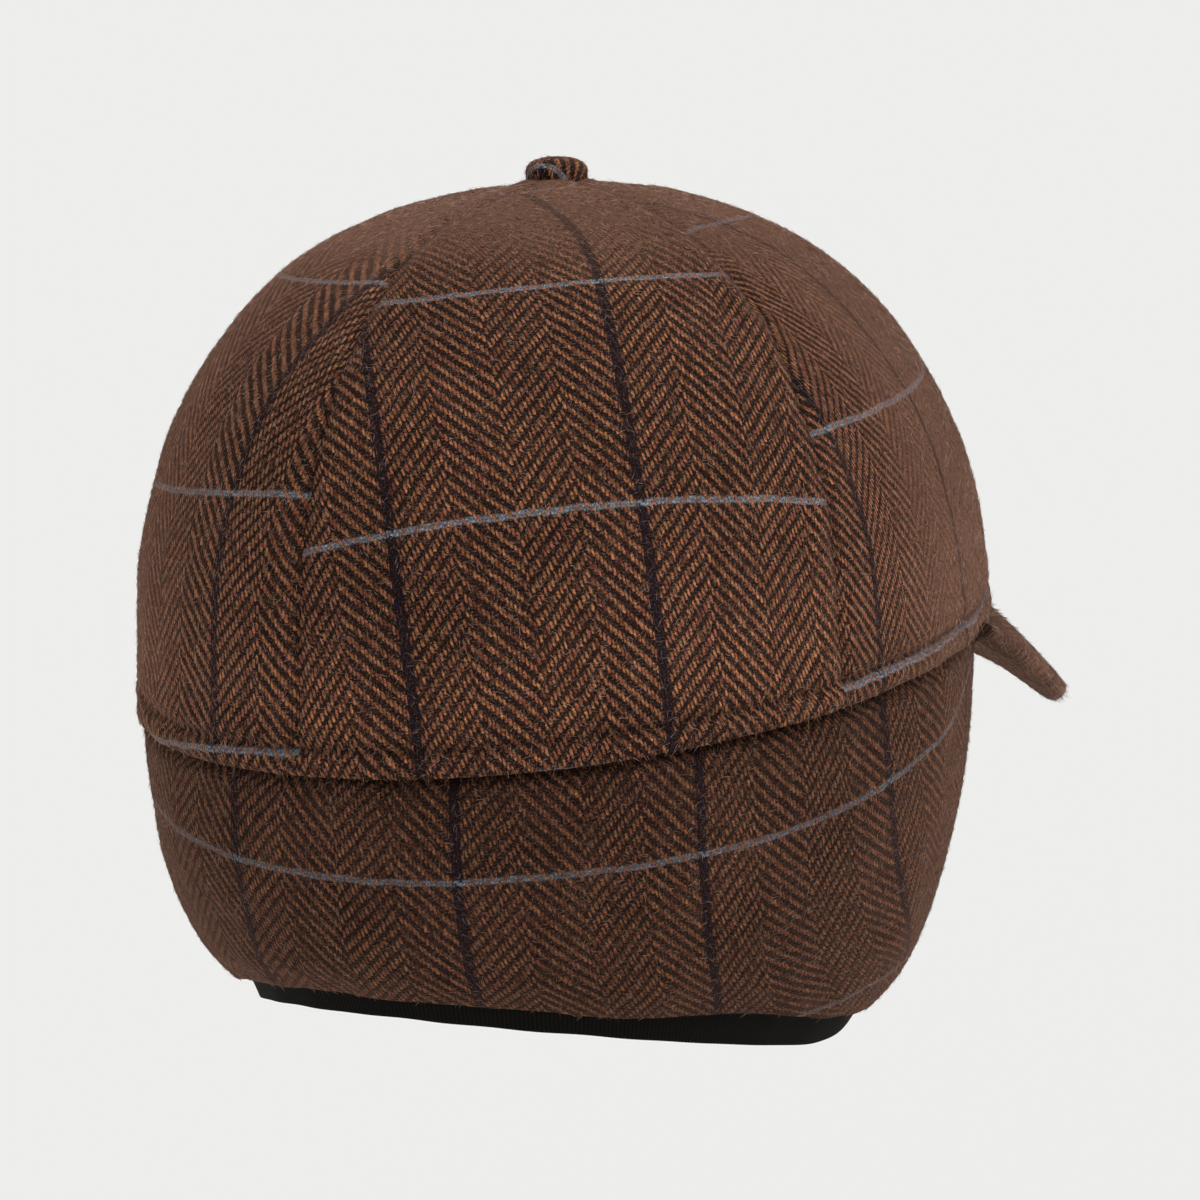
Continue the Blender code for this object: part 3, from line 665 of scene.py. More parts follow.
def herringbone_group():
    """Herringbone tweed with a windowpane check, in cloth coordinates."""
    floats = ("Painted Shade", "Painted Sheen", "Warp Pitch", "Weft Pitch", "Column Warps", "Window Warps",
              "Window Wefts", "Navy Warps", "Pale Wefts", "Haze Amount")
    colours = ("Light Warp", "Deep Warp", "Red Warp", "Weft", "Navy", "Pale", "Haze", "Fibre")
    inputs = [("Cloth", "NodeSocketVector")]
    inputs += [(name, "NodeSocketFloat") for name in floats]
    inputs += [(name, "NodeSocketColor") for name in colours]
    outputs = (("Colour", "NodeSocketColor"), ("Height", "NodeSocketFloat"))
    tree, given, wanted = new_group("Herringbone tweed", inputs, outputs)
    cloth = given["Cloth"]

    drift = wander(tree, cloth, 150.0, 0.0009)
    wobble = wander(tree, cloth, 1100.0, 0.0004)
    place = vectors(tree, "ADD", cloth, vectors(tree, "ADD", drift, wobble))
    parts = put(tree, "ShaderNodeSeparateXYZ", {0: place}).outputs
    across_yarns = sums(tree, "DIVIDE", parts[0], given["Warp Pitch"])
    along_yarns = sums(tree, "DIVIDE", parts[1], given["Weft Pitch"])
    warp = sums(tree, "FLOOR", across_yarns)
    across = scaled(tree, sums(tree, "FRACT", across_yarns), 2.0, -1.0)
    over = scaled(tree, sums(tree, "FRACT", along_yarns), 2.0, -1.0)

    zigzag = sums(tree, "PINGPONG", plus(tree, warp, 0.5), given["Column Warps"])
    column = sums(tree, "FLOOR", sums(tree, "DIVIDE", warp, given["Column Warps"]))
    turned = sums(tree, "FLOORED_MODULO", column, 2.0)
    rise = sums(tree, "SUBTRACT", along_yarns, sums(tree, "SUBTRACT", zigzag, 0.5))
    rise = scaled(tree, turned, 2.0, rise)
    along = sums(tree, "SUBTRACT", sums(tree, "FLOORED_MODULO", rise, 4.0), 1.0)
    float_over = sums(tree, "FLOOR", sums(tree, "DIVIDE", rise, 4.0))
    cell = put(tree, "ShaderNodeCombineXYZ", {0: warp, 1: float_over})
    chance = put(tree, "ShaderNodeTexWhiteNoise", {"Vector": cell.outputs[0]}, noise_dimensions="2D")
    tints = put(tree, "ShaderNodeSeparateXYZ", {0: chance.outputs["Color"]}).outputs

    fine = vectors(tree, "MULTIPLY", place, (1.0, 0.55, 1.0))
    streak = noise(tree, fine, 3000.0, 3.0, 0.70)[0]
    fray = noise(tree, cloth, 3400.0, 2.0, 0.7)[0]
    slanted = scaled(tree, along, 0.30, across)
    narrow = scaled(tree, tints[2], 0.9, 1.05)
    oval_across = times(tree, times(tree, slanted, slanted), narrow)
    oval_along = sums(tree, "POWER", times(tree, sums(tree, "ABSOLUTE", along), 0.86), 3.0)
    from_middle = plus(tree, oval_across, oval_along)
    from_middle = plus(tree, from_middle, scaled(tree, fray, 3.6, -1.8))
    warp_shows = stepped(tree, from_middle, 0.20, 1.45, 1.0, 0.0)
    warp_shows = times(tree, warp_shows, stepped(tree, tints[0], 0.0, 0.20, 0.55, 1.0))

    warp_tone = scaled(tree, tints[0], 0.60, times(tree, streak, 2.4))
    twist_place = scaled(tree, across, 1.8, times(tree, tints[1], 6.0))
    twist_place = scaled(tree, along, 3.4, twist_place)
    warp_tone = scaled(tree, sums(tree, "SINE", twist_place), 0.30, warp_tone)
    warp_tone = sums(tree, "SUBTRACT", warp_tone, 1.05, clamp=True)
    warp_colour = blended(tree, warp_tone, given["Deep Warp"], given["Light Warp"])
    red_share = times(tree, stepped(tree, tints[1], 0.62, 0.95), 0.6)
    warp_colour = blended(tree, red_share, warp_colour, given["Red Warp"])

    speck_value, speck_colour = noise(tree, cloth, 2700.0, 2.0, 0.65)
    weft_tone = scaled(tree, speck_value, 4.0, -1.3, clamp=True)
    weft_colour = blended(tree, weft_tone, (0.0035, 0.0026, 0.0026, 1.0), given["Weft"])
    speck_share = times(tree, stepped(tree, speck_value, 0.50, 0.66), 0.30)
    speck_colour = blended(tree, 1.0, speck_colour, (0.16, 0.085, 0.085, 1.0), "MULTIPLY")
    weft_colour = blended(tree, speck_share, weft_colour, speck_colour)

    half_navy = times(tree, given["Navy Warps"], 0.5)
    navy_place = sums(tree, "FLOORED_MODULO", plus(tree, across_yarns, half_navy), given["Window Warps"])
    in_navy = stepped(tree, sums(tree, "SUBTRACT", navy_place, given["Navy Warps"]), -0.5, 0.3, 1.0, 0.0)
    warp_colour = blended(tree, in_navy, warp_colour, given["Navy"])
    half_pale = times(tree, given["Pale Wefts"], 0.5)
    pale_place = plus(tree, along_yarns, scaled(tree, fray, 2.4, -1.2))
    pale_place = sums(tree, "FLOORED_MODULO", plus(tree, pale_place, half_pale), given["Window Wefts"])
    in_pale = stepped(tree, sums(tree, "SUBTRACT", pale_place, given["Pale Wefts"]), -0.45, 0.25, 1.0, 0.0)
    pale_tone = scaled(tree, streak, 3.2, -1.1, clamp=True)
    pale_yarn = blended(tree, pale_tone, (0.045, 0.040, 0.046, 1.0), given["Pale"])
    weft_colour = blended(tree, in_pale, weft_colour, pale_yarn)

    round_weft = sums(tree, "SUBTRACT", 1.0, times(tree, over, over))
    shown = blended(tree, warp_shows, weft_colour, warp_colour)
    # Painted shade in the hollows between the yarns
    yarn_gap_shade = sums(tree, "MAXIMUM", warp_shows, scaled(tree, round_weft, 0.40, 0.55))
    shown = blended(tree, 1.0, shown, yarn_gap_shade, "MULTIPLY")
    shown = blended(tree, times(tree, in_pale, 0.12), shown, pale_yarn)
    clouds = noise(tree, cloth, 60.0, 3.0, 0.6)[0]
    haze_mask = noise(tree, cloth, 1900.0, 4.0, 0.75)[0]
    haze_share = times(tree, stepped(tree, haze_mask, 0.40, 0.66), given["Haze Amount"])
    haze_share = times(tree, haze_share, stepped(tree, clouds, 0.30, 0.70, 0.45, 1.55))
    haze_share = times(tree, haze_share, scaled(tree, in_navy, -0.85, 1.0), clamp=True)
    # Painted sheen: the lighter haze covers the weave where the attribute asks, less over the navy and pale
    # lines
    painted_sheen = times(tree, given["Painted Sheen"], scaled(tree, in_navy, -0.62, 0.80))
    painted_sheen = times(tree, painted_sheen, scaled(tree, in_pale, -0.75, 1.0))
    haze_share = sums(tree, "MAXIMUM", haze_share, painted_sheen)
    tufts = noise(tree, vectors(tree, "MULTIPLY", cloth, (1.0, 0.5, 1.0)), 1200.0, 4.0, 0.85)[0]
    tuft_light = sums(tree, "MAXIMUM", scaled(tree, tufts, 6.5, -2.25), 0.12)
    tufted = blended(tree, 1.0, given["Haze"], tuft_light, "MULTIPLY")
    hazy = blended(tree, haze_share, shown, tufted)
    long_hairs = hairs(tree, vectors(tree, "MULTIPLY", place, (1.0, 0.45, 1.0)), 620.0, 0.030)
    short_hairs = hairs(tree, vectors(tree, "MULTIPLY", cloth, (0.6, 1.0, 1.0)), 1100.0, 0.035)
    any_hairs = sums(tree, "MAXIMUM", long_hairs, short_hairs)
    hair_share = times(tree, any_hairs, stepped(tree, speck_value, 0.50, 0.66))
    hair_share = times(tree, hair_share, scaled(tree, in_navy, -0.34, 0.46))
    hair_share = times(tree, hair_share, scaled(tree, given["Painted Sheen"], 1.2, 1.0))
    hazy = blended(tree, hair_share, hazy, given["Fibre"])
    # Random clouds of tone, times the painted shade of the seams, grooves and hem; below 0 it lightens the
    # cloth above the hem
    clouds_and_shade = stepped(tree, noise(tree, cloth, 28.0, 2.0)[0], 0.25, 0.75, 0.86, 1.14)
    clouds_and_shade = times(tree, clouds_and_shade, sums(tree, "SUBTRACT", 1.0, given["Painted Shade"]))
    clouded_and_shaded = blended(tree, 1.0, hazy, clouds_and_shade, "MULTIPLY")
    grain_value, grain_colour = noise(tree, cloth, 2300.0, 2.0, 0.8)
    grain_tint = vectors(tree, "MULTIPLY_ADD", grain_colour, (1.7, 1.7, 1.7), (0.15, 0.15, 0.15))
    grain_light = sums(tree, "MAXIMUM", scaled(tree, grain_value, 3.8, -0.86), 0.15)
    grained = blended(tree, 1.0, clouded_and_shaded, grain_tint, "MULTIPLY")
    tree.links.new(blended(tree, 1.0, grained, grain_light, "MULTIPLY"), wanted["Colour"])

    height = sums(tree, "MAXIMUM", warp_shows, times(tree, round_weft, 0.35))
    height = plus(tree, height, times(tree, streak, 0.45))
    height = plus(tree, height, times(tree, haze_mask, 0.60))
    sheen_zone_height = times(tree, tufts, given["Painted Sheen"])
    tree.links.new(scaled(tree, sheen_zone_height, 3.0, height), wanted["Height"])
    return tree


def new_material(name, roughness, specular):
    """A material with a matt surface, its node tree and the inputs of its shader."""
    material = bpy.data.materials.new(name)
    material.use_nodes = True
    inputs = material.node_tree.nodes["Principled BSDF"].inputs
    inputs["Roughness"].default_value = roughness
    inputs["Specular IOR Level"].default_value = specular
    return material, material.node_tree, inputs


def dimmed(shade, brightness):
    """A colour made darker."""
    return [brightness * part for part in shade[:3]] + [1.0]


def tweed_material(name, tweed, haze_amount, brightness):
    """The tweed, with its own share of felted haze."""
    material, tree, surface = new_material(name, 0.95, 0.05)
    values = {
        "Cloth": put(tree, "ShaderNodeUVMap", uv_map=CLOTH_MAP).outputs[0],
        # Attributes carrying the painted shade and the painted sheen
        "Painted Shade": put(tree, "ShaderNodeAttribute", attribute_name=PAINTED_SHADE).outputs["Fac"],
        "Painted Sheen": put(tree, "ShaderNodeAttribute", attribute_name=PAINTED_SHEEN).outputs["Fac"],
        "Warp Pitch": tweed.warp_pitch,
        "Weft Pitch": tweed.weft_pitch,
        "Column Warps": tweed.column_warps,
        "Window Warps": tweed.window_warps,
        "Window Wefts": tweed.window_wefts,
        "Navy Warps": tweed.navy_warps,
        "Pale Wefts": tweed.pale_wefts,
        "Haze Amount": haze_amount,
        # A brightness below 1 darkens this copy as painted shade
        "Light Warp": dimmed(tweed.light, brightness),
        "Deep Warp": dimmed(tweed.deep, brightness),
        "Red Warp": dimmed(tweed.red, brightness),
        "Weft": tweed.weft,
        "Navy": tweed.navy,
        "Pale": dimmed(tweed.pale, brightness),
        "Haze": dimmed(tweed.haze, brightness),
        "Fibre": dimmed(tweed.fibre, brightness),
    }
    group = bpy.data.node_groups.get("Herringbone tweed") or herringbone_group()
    weave = put(tree, "ShaderNodeGroup", values, node_tree=group)
    tree.links.new(weave.outputs["Colour"], surface["Base Color"])
    values = {"Distance": tweed.relief, "Strength": 0.9, "Height": weave.outputs["Height"]}
    tree.links.new(put(tree, "ShaderNodeBump", values).outputs[0], surface["Normal"])
    surface["Sheen Weight"].default_value = 0.85
    surface["Sheen Roughness"].default_value = 0.30
    surface["Sheen Tint"].default_value = dimmed(tweed.sheen, brightness)
    return material


def nap_material(name, tweed, brightness):
    """Wool fibres, each with its own tint."""
    material, tree, surface = new_material(name, 1.0, 0.05)
    tint = put(tree, "ShaderNodeAttribute", attribute_name=TINT).outputs["Fac"]
    place = put(tree, "ShaderNodeTexCoord").outputs["Object"]
    shade = scaled(tree, noise(tree, place, 260.0)[0], 0.6, -0.3)
    share = plus(tree, sums(tree, "POWER", tint, 1.5), shade, clamp=True)
    deep, light = dimmed(tweed.nap_deep, brightness), dimmed(tweed.nap_light, brightness)
    tree.links.new(blended(tree, share, deep, light), surface["Base Color"])
    return material


def tape_material(tape):
    """Black tape with ribs across it and a little lint."""
    material, tree, surface = new_material("ribbed_black_tape", 0.72, 0.03)
    cloth = put(tree, "ShaderNodeUVMap", uv_map=CLOTH_MAP).outputs[0]
    parts = put(tree, "ShaderNodeSeparateXYZ", {0: cloth}).outputs
    rib_place = times(tree, parts[0], 2.0 * pi / tape.rib)
    ribs = scaled(tree, sums(tree, "SINE", rib_place), 0.5, 0.5)
    yarn_place = times(tree, parts[1], 2.0 * pi / (tape.rib * 0.45))
    yarns = scaled(tree, sums(tree, "SINE", yarn_place), 0.5, 0.5)
    grain = noise(tree, cloth, 2400.0, 3.0)[0]
    lint = stepped(tree, noise(tree, cloth, 420.0, 4.0, 0.75)[0], 0.74, 0.80)
    tone = scaled(tree, ribs, 0.5, times(tree, grain, 0.5))
    black = blended(tree, tone, (0.0014, 0.0013, 0.0011, 1.0), (0.0090, 0.0082, 0.0066, 1.0))
    black = blended(tree, times(tree, lint, 0.5), black, (0.04, 0.036, 0.032, 1.0))
    tree.links.new(black, surface["Base Color"])
    height = plus(tree, ribs, times(tree, yarns, 0.25))
    height = plus(tree, height, times(tree, grain, 0.3))
    relief = put(tree, "ShaderNodeBump", {"Distance": 0.00012, "Strength": 0.8, "Height": height})
    tree.links.new(relief.outputs[0], surface["Normal"])
    return material


def material_named(name, maker):
    """A material that is made once and shared."""
    return bpy.data.materials.get(name) or maker()


def tweed_named(context, name):
    """One of the tweeds."""
    tweed = context.scene.cap.tweed
    return material_named(name, lambda: tweed_material(name, tweed, *TWEEDS[name]))


# Pieces

def crown_relief(crown, turn, points, seam_distance, share):
    """How far the crown's cloth stands out of its smooth shape."""
    above_hem = points[..., 2] - hem_height(crown, turn)
    roll = crown.hem_roll * np.sin(pi * np.clip(above_hem / crown.hem_depth, 0.0, 1.0)) ** 0.8
    groove = -crown.groove * bump(above_hem, crown.hem_depth, crown.groove_width)
    shoulder = 0.4 * crown.hem_roll * bump(above_hem, crown.hem_depth * 1.75, crown.hem_depth * 0.45)
    near_hem = np.exp(-np.abs(above_hem - crown.hem_depth) / (0.6 * crown.hem_depth))
    stitched = crown.pucker * near_hem * soft_waves(points, wavelength=0.0042, seed=11)
    loose_edge = 1.6 * crown.pucker * bump(above_hem, 0.0, crown.hem_depth)
    loose_edge = loose_edge * soft_waves(points, wavelength=0.019, seed=12)
    dip = -crown.seam_dip * bump(seam_distance, 0.0, crown.seam_reach)
    dip = dip * (0.35 + 0.65 * smooth_step(above_hem, 0.4 * crown.hem_depth, 1.6 * crown.hem_depth))
    swell = crown.seam_swell * bump(seam_distance, 2.3 * crown.seam_reach, 1.3 * crown.seam_reach)
    drawn = np.exp(-seam_distance / (3.0 * crown.seam_reach))
    gathered = 1.1 * crown.pucker * drawn * soft_waves(points, wavelength=0.0075, seed=13)
    waves = soft_waves(points, wavelength=0.042, seed=14)
    waves = crown.unevenness * (waves + 0.35 * soft_waves(points, wavelength=0.014, seed=15))
    from_top = crown.half_width * share
    fallen = smooth_step(from_top, crown.top_edge, crown.top_edge + crown.top_reach)
    rise = crown.top_rise * (1.0 - fallen) ** 2
    calm = smooth_step(share, 0.0, 0.18)
    return roll + groove + shoulder + stitched + loose_edge + (dip + swell + gathered + waves) * calm + rise


def crown_painted_shade(crown, above_hem, seam_distance):
    """Painted shade in a stitched line or a seam; below 0 where the cloth above the hem is made lighter."""
    stitched = crown.painted_shade * bump(above_hem, crown.hem_depth, 0.9 * crown.groove_width)
    seam = crown.painted_shade * bump(seam_distance, 0.0, 0.6 * crown.seam_reach)
    seam = seam * smooth_step(above_hem, 0.5 * crown.hem_depth, 1.5 * crown.hem_depth)
    lightened = crown.hem_lightening * bump(above_hem, 3.2 * crown.hem_depth, 2.2 * crown.hem_depth)
    return np.maximum(stitched, seam) - lightened


def panel_walk(crown, width):
    """Distances across a panel: close together beside its two seams."""
    near = np.cumsum(crown.seam_reach * np.array(SEAM_STEPS))
    inner = max(int(round((width - 2.0 * near[-1]) / crown.grid)), 2)
    between = np.linspace(near[-1], width - near[-1], inner + 1)[1:-1]
    return np.concatenate((near, between, width - near[::-1]))


def crown_panel(context, cut):
    """One gore of the crown between two seams."""
    crown = context.scene.cap.crown
    turns, arcs = arc_tables(crown)
    girth = arcs[-1] - arcs[0]
    walked = panel_walk(crown, (cut["end"] - cut["start"]) * girth)
    arc = cut["start"] * girth + walked
    past_front = arc > arcs[-1]
    turn = np.interp(np.where(past_front, arc - girth, arc), arcs, turns)
    turn = np.where(past_front, turn + 2.0 * pi, turn)[None, :]
    hem_rows = np.linspace(0.0, 1.9 * crown.hem_depth, HEM_ROWS + 1)[:, None]
    hem_climbs = climb_angle(crown, hem_height(crown, turn) + hem_rows)
    top_share = crown.top_hole / crown.half_width
    top = np.arctan2((1.0 - top_share ** crown.roundness) ** 0.5, top_share ** (crown.roundness / 2.0))
    rows = int(round(crown.height * 1.5 / crown.grid))
    rest = hem_climbs[-1:] + (top - hem_climbs[-1:]) * np.linspace(0.0, 1.0, rows + 1)[1:, None]
    climb = np.concatenate((hem_climbs, rest))
    turn = np.broadcast_to(turn, climb.shape)
    share = crown_share(crown, climb)
    points = crown_surface(crown, turn, climb)

    # The cloth lies flat across from the panel's middle and up from the widest level
    across = (walked - walked[-1] / 2.0)[None, :] * share
    lengths = lengths_up(points)
    widest = np.array([
        np.interp(crown.widest, points[:, column, 2], lengths[:, column])
        if points[0, column, 2] < crown.widest
        else lengths[0, column] - (points[0, column, 2] - crown.widest)
        for column in range(len(walked))
    ])
    up = lengths - widest[None, :]
    aside = crown.top_bend * (1.0 - smooth_step(share, 0.05, 0.60))
    u = (across + aside + cut["warp_lean"] * up - cut["warp"]) * cut["warp_width"]
    v = up - cut["weft_lean"] * across + cut["bow"] * across * across - cut["weft"]

    seam_distance = np.minimum(walked[None, :], (walked[-1] - walked)[None, :]) * share
    above_hem = points[..., 2] - hem_height(crown, turn)
    # Painted shade in the stitched groove and the seams, and lighter cloth above the hem
    painted_shade = crown_painted_shade(crown, above_hem, seam_distance)
    normals = outward(points, grid_normals(points), (0.0, 0.0, 0.0))
    points = points + normals * crown_relief(crown, turn, points, seam_distance, share)[..., None]
    # Painted sheen over the top and the right side, which hides the weave under a lighter haze
    sheened = 1.0 - smooth_step(share, crown.sheen_top, 1.7 * crown.sheen_top)
    side = smooth_step(pi - np.abs(turn - pi), crown.sheen_side, 1.35 * crown.sheen_side)
    painted_sheen = np.maximum(sheened, side)
    sheet = grid_sheet(points, normals, np.stack((u, v), axis=-1), painted_shade, painted_sheen)
    tweed = tweed_named(context, "brown_tweed")
    panel = add_piece("cloth_" + cut["name"], sheet, tweed, cut["name"])
    thicken(panel, crown.wall)
    round_edges(panel, crown.edge_round, 3)
    nap_piece(context, cut["name"], points, normals, 1.0, cut["nap_seed"])


class CAP_OT_crown(bpy.types.Operator):
    """Sew the crown from its five tweed panels"""

    bl_idname = "cap.crown"
    bl_label = "Crown panels"

    def execute(self, context):
        for row in PANELS:
            crown_panel(context, dict(zip(PANEL_FIELDS, row)))
        return {"FINISHED"}


def button_outline(button, straight):
    """Radii and heights from the middle of the button's top, down its side, to the middle below."""
    outline = []
    for step in range(DOME_STEPS + 1):
        angle = pi * 0.5 * step / DOME_STEPS
        height = straight + (button.height - straight) * cos(angle)
        outline.append((button.radius * sin(angle) ** button.dome_hold, height))
    for step in range(1, SIDE_STEPS + 1):
        share = step / SIDE_STEPS
        radius = button.radius * (1.0 - button.foot_inset * share * share)
        outline.append((radius, straight * (1.0 - share) - button.foot_drop * share))
    return outline + [(button.radius * 0.5, -button.closed_at), (0.0, -button.closed_at)]


class CAP_OT_button(bpy.types.Operator):
    """Cover the button on top"""

    bl_idname = "cap.button"
    bl_label = "Top button"

    def execute(self, context):
        settings = context.scene.cap
        button = settings.button
        middle = Vector((0.0, settings.crown.lean_back, button.top - button.height))
        model = bmesh.new()
        straight = button.height * button.edge_share
        outline = button_outline(button, straight)
        points = [model.verts.new((radius, 0.0, height)) for radius, height in outline]
        edges = [model.edges.new(pair) for pair in zip(points, points[1:])]
        bmesh.ops.spin(
            model, geom=points + edges, cent=(0.0, 0.0, 0.0), axis=(0.0, 0.0, 1.0),
            angle=2.0 * pi, steps=BUTTON_COLUMNS, use_merge=True,
        )
        bmesh.ops.remove_doubles(model, verts=model.verts, dist=MERGE_DISTANCE)
        bmesh.ops.recalc_face_normals(model, faces=model.faces)
        lengths = [0.0]
        for (radius, height), (next_radius, next_height) in zip(outline, outline[1:]):
            lengths.append(lengths[-1] + Vector((next_radius - radius, next_height - height)).length)
        heights = [height for _, height in outline]
        layer = model.loops.layers.uv.new(CLOTH_MAP)
        for face in model.faces:
            for loop in face.loops:
                flat = Vector(loop.vert.co[:2])
                down = np.interp(-loop.vert.co.z, [-height for height in heights[:-2]], lengths[:-2])
                direction = flat.normalized() if flat.length > 1e-6 else flat
                loop[layer].uv = direction * float(down) + Vector(BUTTON_CLOTH)
        for vertex in model.verts:
            turn = np.arctan2(vertex.co.y, vertex.co.x)
            low = max(0.0, 1.0 - max(vertex.co.z, 0.0) / straight)
            flat = Vector((vertex.co.x, vertex.co.y, 0.0))
            if flat.length > 0.5 * button.radius:
                wave = cos(turn * button.pleats) + 0.5 * cos(turn * (button.pleats + 5) + 1.0)
                vertex.co += flat.normalized() * button.pleat * low * wave
        bmesh.ops.translate(model, verts=model.verts, vec=middle)
        tweed = tweed_named(context, "brown_tweed")
        add_piece("cloth_top_button", model, tweed, "top_button")
        ring = np.linspace(0.0, 2.0 * pi, BUTTON_COLUMNS + 1)[None, :]
        radius, height = (np.array(part)[:, None] for part in zip(*outline[1:-3]))
        points = np.stack(np.broadcast_arrays(radius * np.cos(ring), radius * np.sin(ring), height), axis=-1)
        normals = outward(points, grid_normals(points), (0.0, 0.0, 0.0))
        nap_piece(context, "top_button", points + np.array(middle), normals, 1.0, seed=45)
        return {"FINISHED"}


def band_cloth(crown, turn, depth, height):
    """Cloth coordinates on the band, in which the yarns fan out as the bowl narrows."""
    cut = BAND_CUT
    arc = np.interp(turn, *arc_tables(crown))
    below = np.clip(-height / cut["narrowing_depth"], 0.0, cut["narrowing_end"])
    narrowed = 1.0 - cut["narrowing"] * below ** cut["narrowing_hold"]
    skew = cut["skew"] * depth * smooth_step(arc, cut["skew_from"], cut["skew_to"])
    side = arc - cut["bow_middle"]
    bow = np.where(side > 0.0, cut["bow_front"], cut["bow_back"])
    bow = bow * (1.0 - cut["bow_loss"] * np.clip(depth / cut["bow_depth"], 0.0, 1.0))
    return (arc - cut["warp"]) * narrowed - skew, cut["weft"] - bow * side * side - depth


class CAP_OT_band(bpy.types.Operator):
    """Hang the band over the ears and the neck"""

    bl_idname = "cap.band"
    bl_label = "Ear and neck band"

    def execute(self, context):
        crown = context.scene.cap.crown
        band = context.scene.cap.band
        turns, arcs = arc_tables(crown)
        columns = int(round((arcs[-1] - arcs[0]) / band.grid))
        turn = np.interp(np.linspace(arcs[0], arcs[-1], columns + 1), arcs, turns)[None, :]
        hem = hem_height(crown, turn)
        tucked = hem + np.linspace(band.tuck, 0.0, TUCK_ROWS + 1)[:-1, None]
        rows = int(round(band.flap_depth / band.grid))
        shares = np.linspace(0.0, 1.0, rows + 1)[:, None]
        height = np.concatenate((tucked, hem + (band_foot(crown, band, turn) - hem) * shares))
        turn = np.broadcast_to(turn, height.shape)
        points = band_surface(crown, band, turn, height)
        depth = lengths_up(points)
        depth = depth - depth[TUCK_ROWS]
        u, v = band_cloth(crown, turn, depth, height)
        normals = outward(points, grid_normals(points), (0.0, 0.0, -0.03))
        shown = smooth_step(hem - height, band.emerge, 4.0 * band.emerge)
        waves = soft_waves(points, wavelength=0.045, seed=21)
        waves = waves + 0.4 * soft_waves(points, wavelength=0.016, seed=22)
        above_foot = height - band_foot(crown, band, turn)
        upright = soft_waves(points * (1.0, 1.0, 0.2), wavelength=0.011, seed=23)
        gathers = 0.35 * bump(above_foot, 0.0, 1.5 * band.curl_reach) * upright
        fades = 1.0 - smooth_step(np.abs(turn), band.fade_from, band.front_turn)
        points = points + normals * (band.unevenness * shown * fades * (waves + gathers))[..., None]
        points[:, 0] = points[:, -1]
        # Painted shadow where the band comes out from under the hem
        hem_shadow = band.hem_shadow * np.exp(-np.maximum(hem - height, 0.0) / band.emerge)
        sheet = grid_sheet(points, normals, np.stack((u, v), axis=-1), hem_shadow)
        bmesh.ops.remove_doubles(sheet, verts=sheet.verts, dist=MERGE_DISTANCE)
        # A darker copy of the tweed with more felted haze; the darkening is painted shade
        tweed = tweed_named(context, "felted_shaded_band_tweed")
        piece = add_piece("cloth_ear_neck_band", sheet, tweed, "ear_neck_band")
        thicken(piece, band.wall)
        round_edges(piece, band.edge_round, 3)
        points, normals = points[TUCK_ROWS + 1:], normals[TUCK_ROWS + 1:]
        nap_piece(context, "ear_neck_band", points, normals, BAND_NAP_SHADED_BRIGHTNESS, seed=61)
        return {"FINISHED"}


class CAP_OT_tape(bpy.types.Operator):
    """Sew the ribbed tape inside the band's lower edge"""

    bl_idname = "cap.tape"
    bl_label = "Edge tape"

    def execute(self, context):
        settings = context.scene.cap
        crown, band, tape = settings.crown, settings.band, settings.tape
        turn = np.linspace(-tape.end_turn, tape.end_turn, TAPE_COLUMNS + 1)[None, :]
        foot = band_foot(crown, band, turn)
        rows = np.linspace(-1.0, 1.0, TAPE_ROWS + 1)[:, None]
        height = foot - tape.tuck * np.minimum(rows, 0.0)
        turn = np.broadcast_to(turn, height.shape)
        points = band_surface(crown, band, turn, height)
        step = radians(0.5)
        along = band_surface(crown, band, turn + step, height)
        along = along - band_surface(crown, band, turn - step, height)
        up = band_surface(crown, band, turn, height + band.curl_reach * 0.1) - points
        inward = np.cross(up, along)
        inward /= np.linalg.norm(inward, axis=-1, keepdims=True)
        inward *= -np.sign(np.sum(inward * points, axis=-1, keepdims=True))
        points = points + inward * (band.wall + tape.gap)
        deepening = (flap_depth(band, turn) / band.flap_depth - band.back_share) / (1.0 - band.back_share)
        shown = tape.shown_back + (tape.shown_ear - tape.shown_back) * deepening ** tape.shown_hold
        shown = shown + flap_lift(band, turn)
        shown = shown * (1.0 - tape.taper * smooth_step(np.abs(turn), tape.taper_turn, tape.end_turn))
        hang = -points * (1.0, 1.0, 0.0)
        hang /= np.linalg.norm(hang, axis=-1, keepdims=True)
        hang = hang * tape.lean_in - np.array((0.0, 0.0, 1.0))
        hang /= np.linalg.norm(hang, axis=-1, keepdims=True)
        points = points + hang * (shown * np.maximum(rows, 0.0))[..., None]
        cloth = np.stack((np.interp(turn, *arc_tables(crown)), lengths_up(points)), axis=-1)
        normals = outward(points, grid_normals(points), (0.0, 0.0, -0.03))
        waves = tape.unevenness * soft_waves(points, wavelength=0.02, seed=31)
        points = points + normals * waves[..., None]
        sheet = grid_sheet(points, normals, cloth)
        black = material_named("ribbed_black_tape", lambda: tape_material(tape))
        piece = add_piece("woven_band_edge_tape", sheet, black, "band_edge_tape")
        thicken(piece, tape.wall)
        round_edges(piece, tape.edge_round, 2)
        return {"FINISHED"}


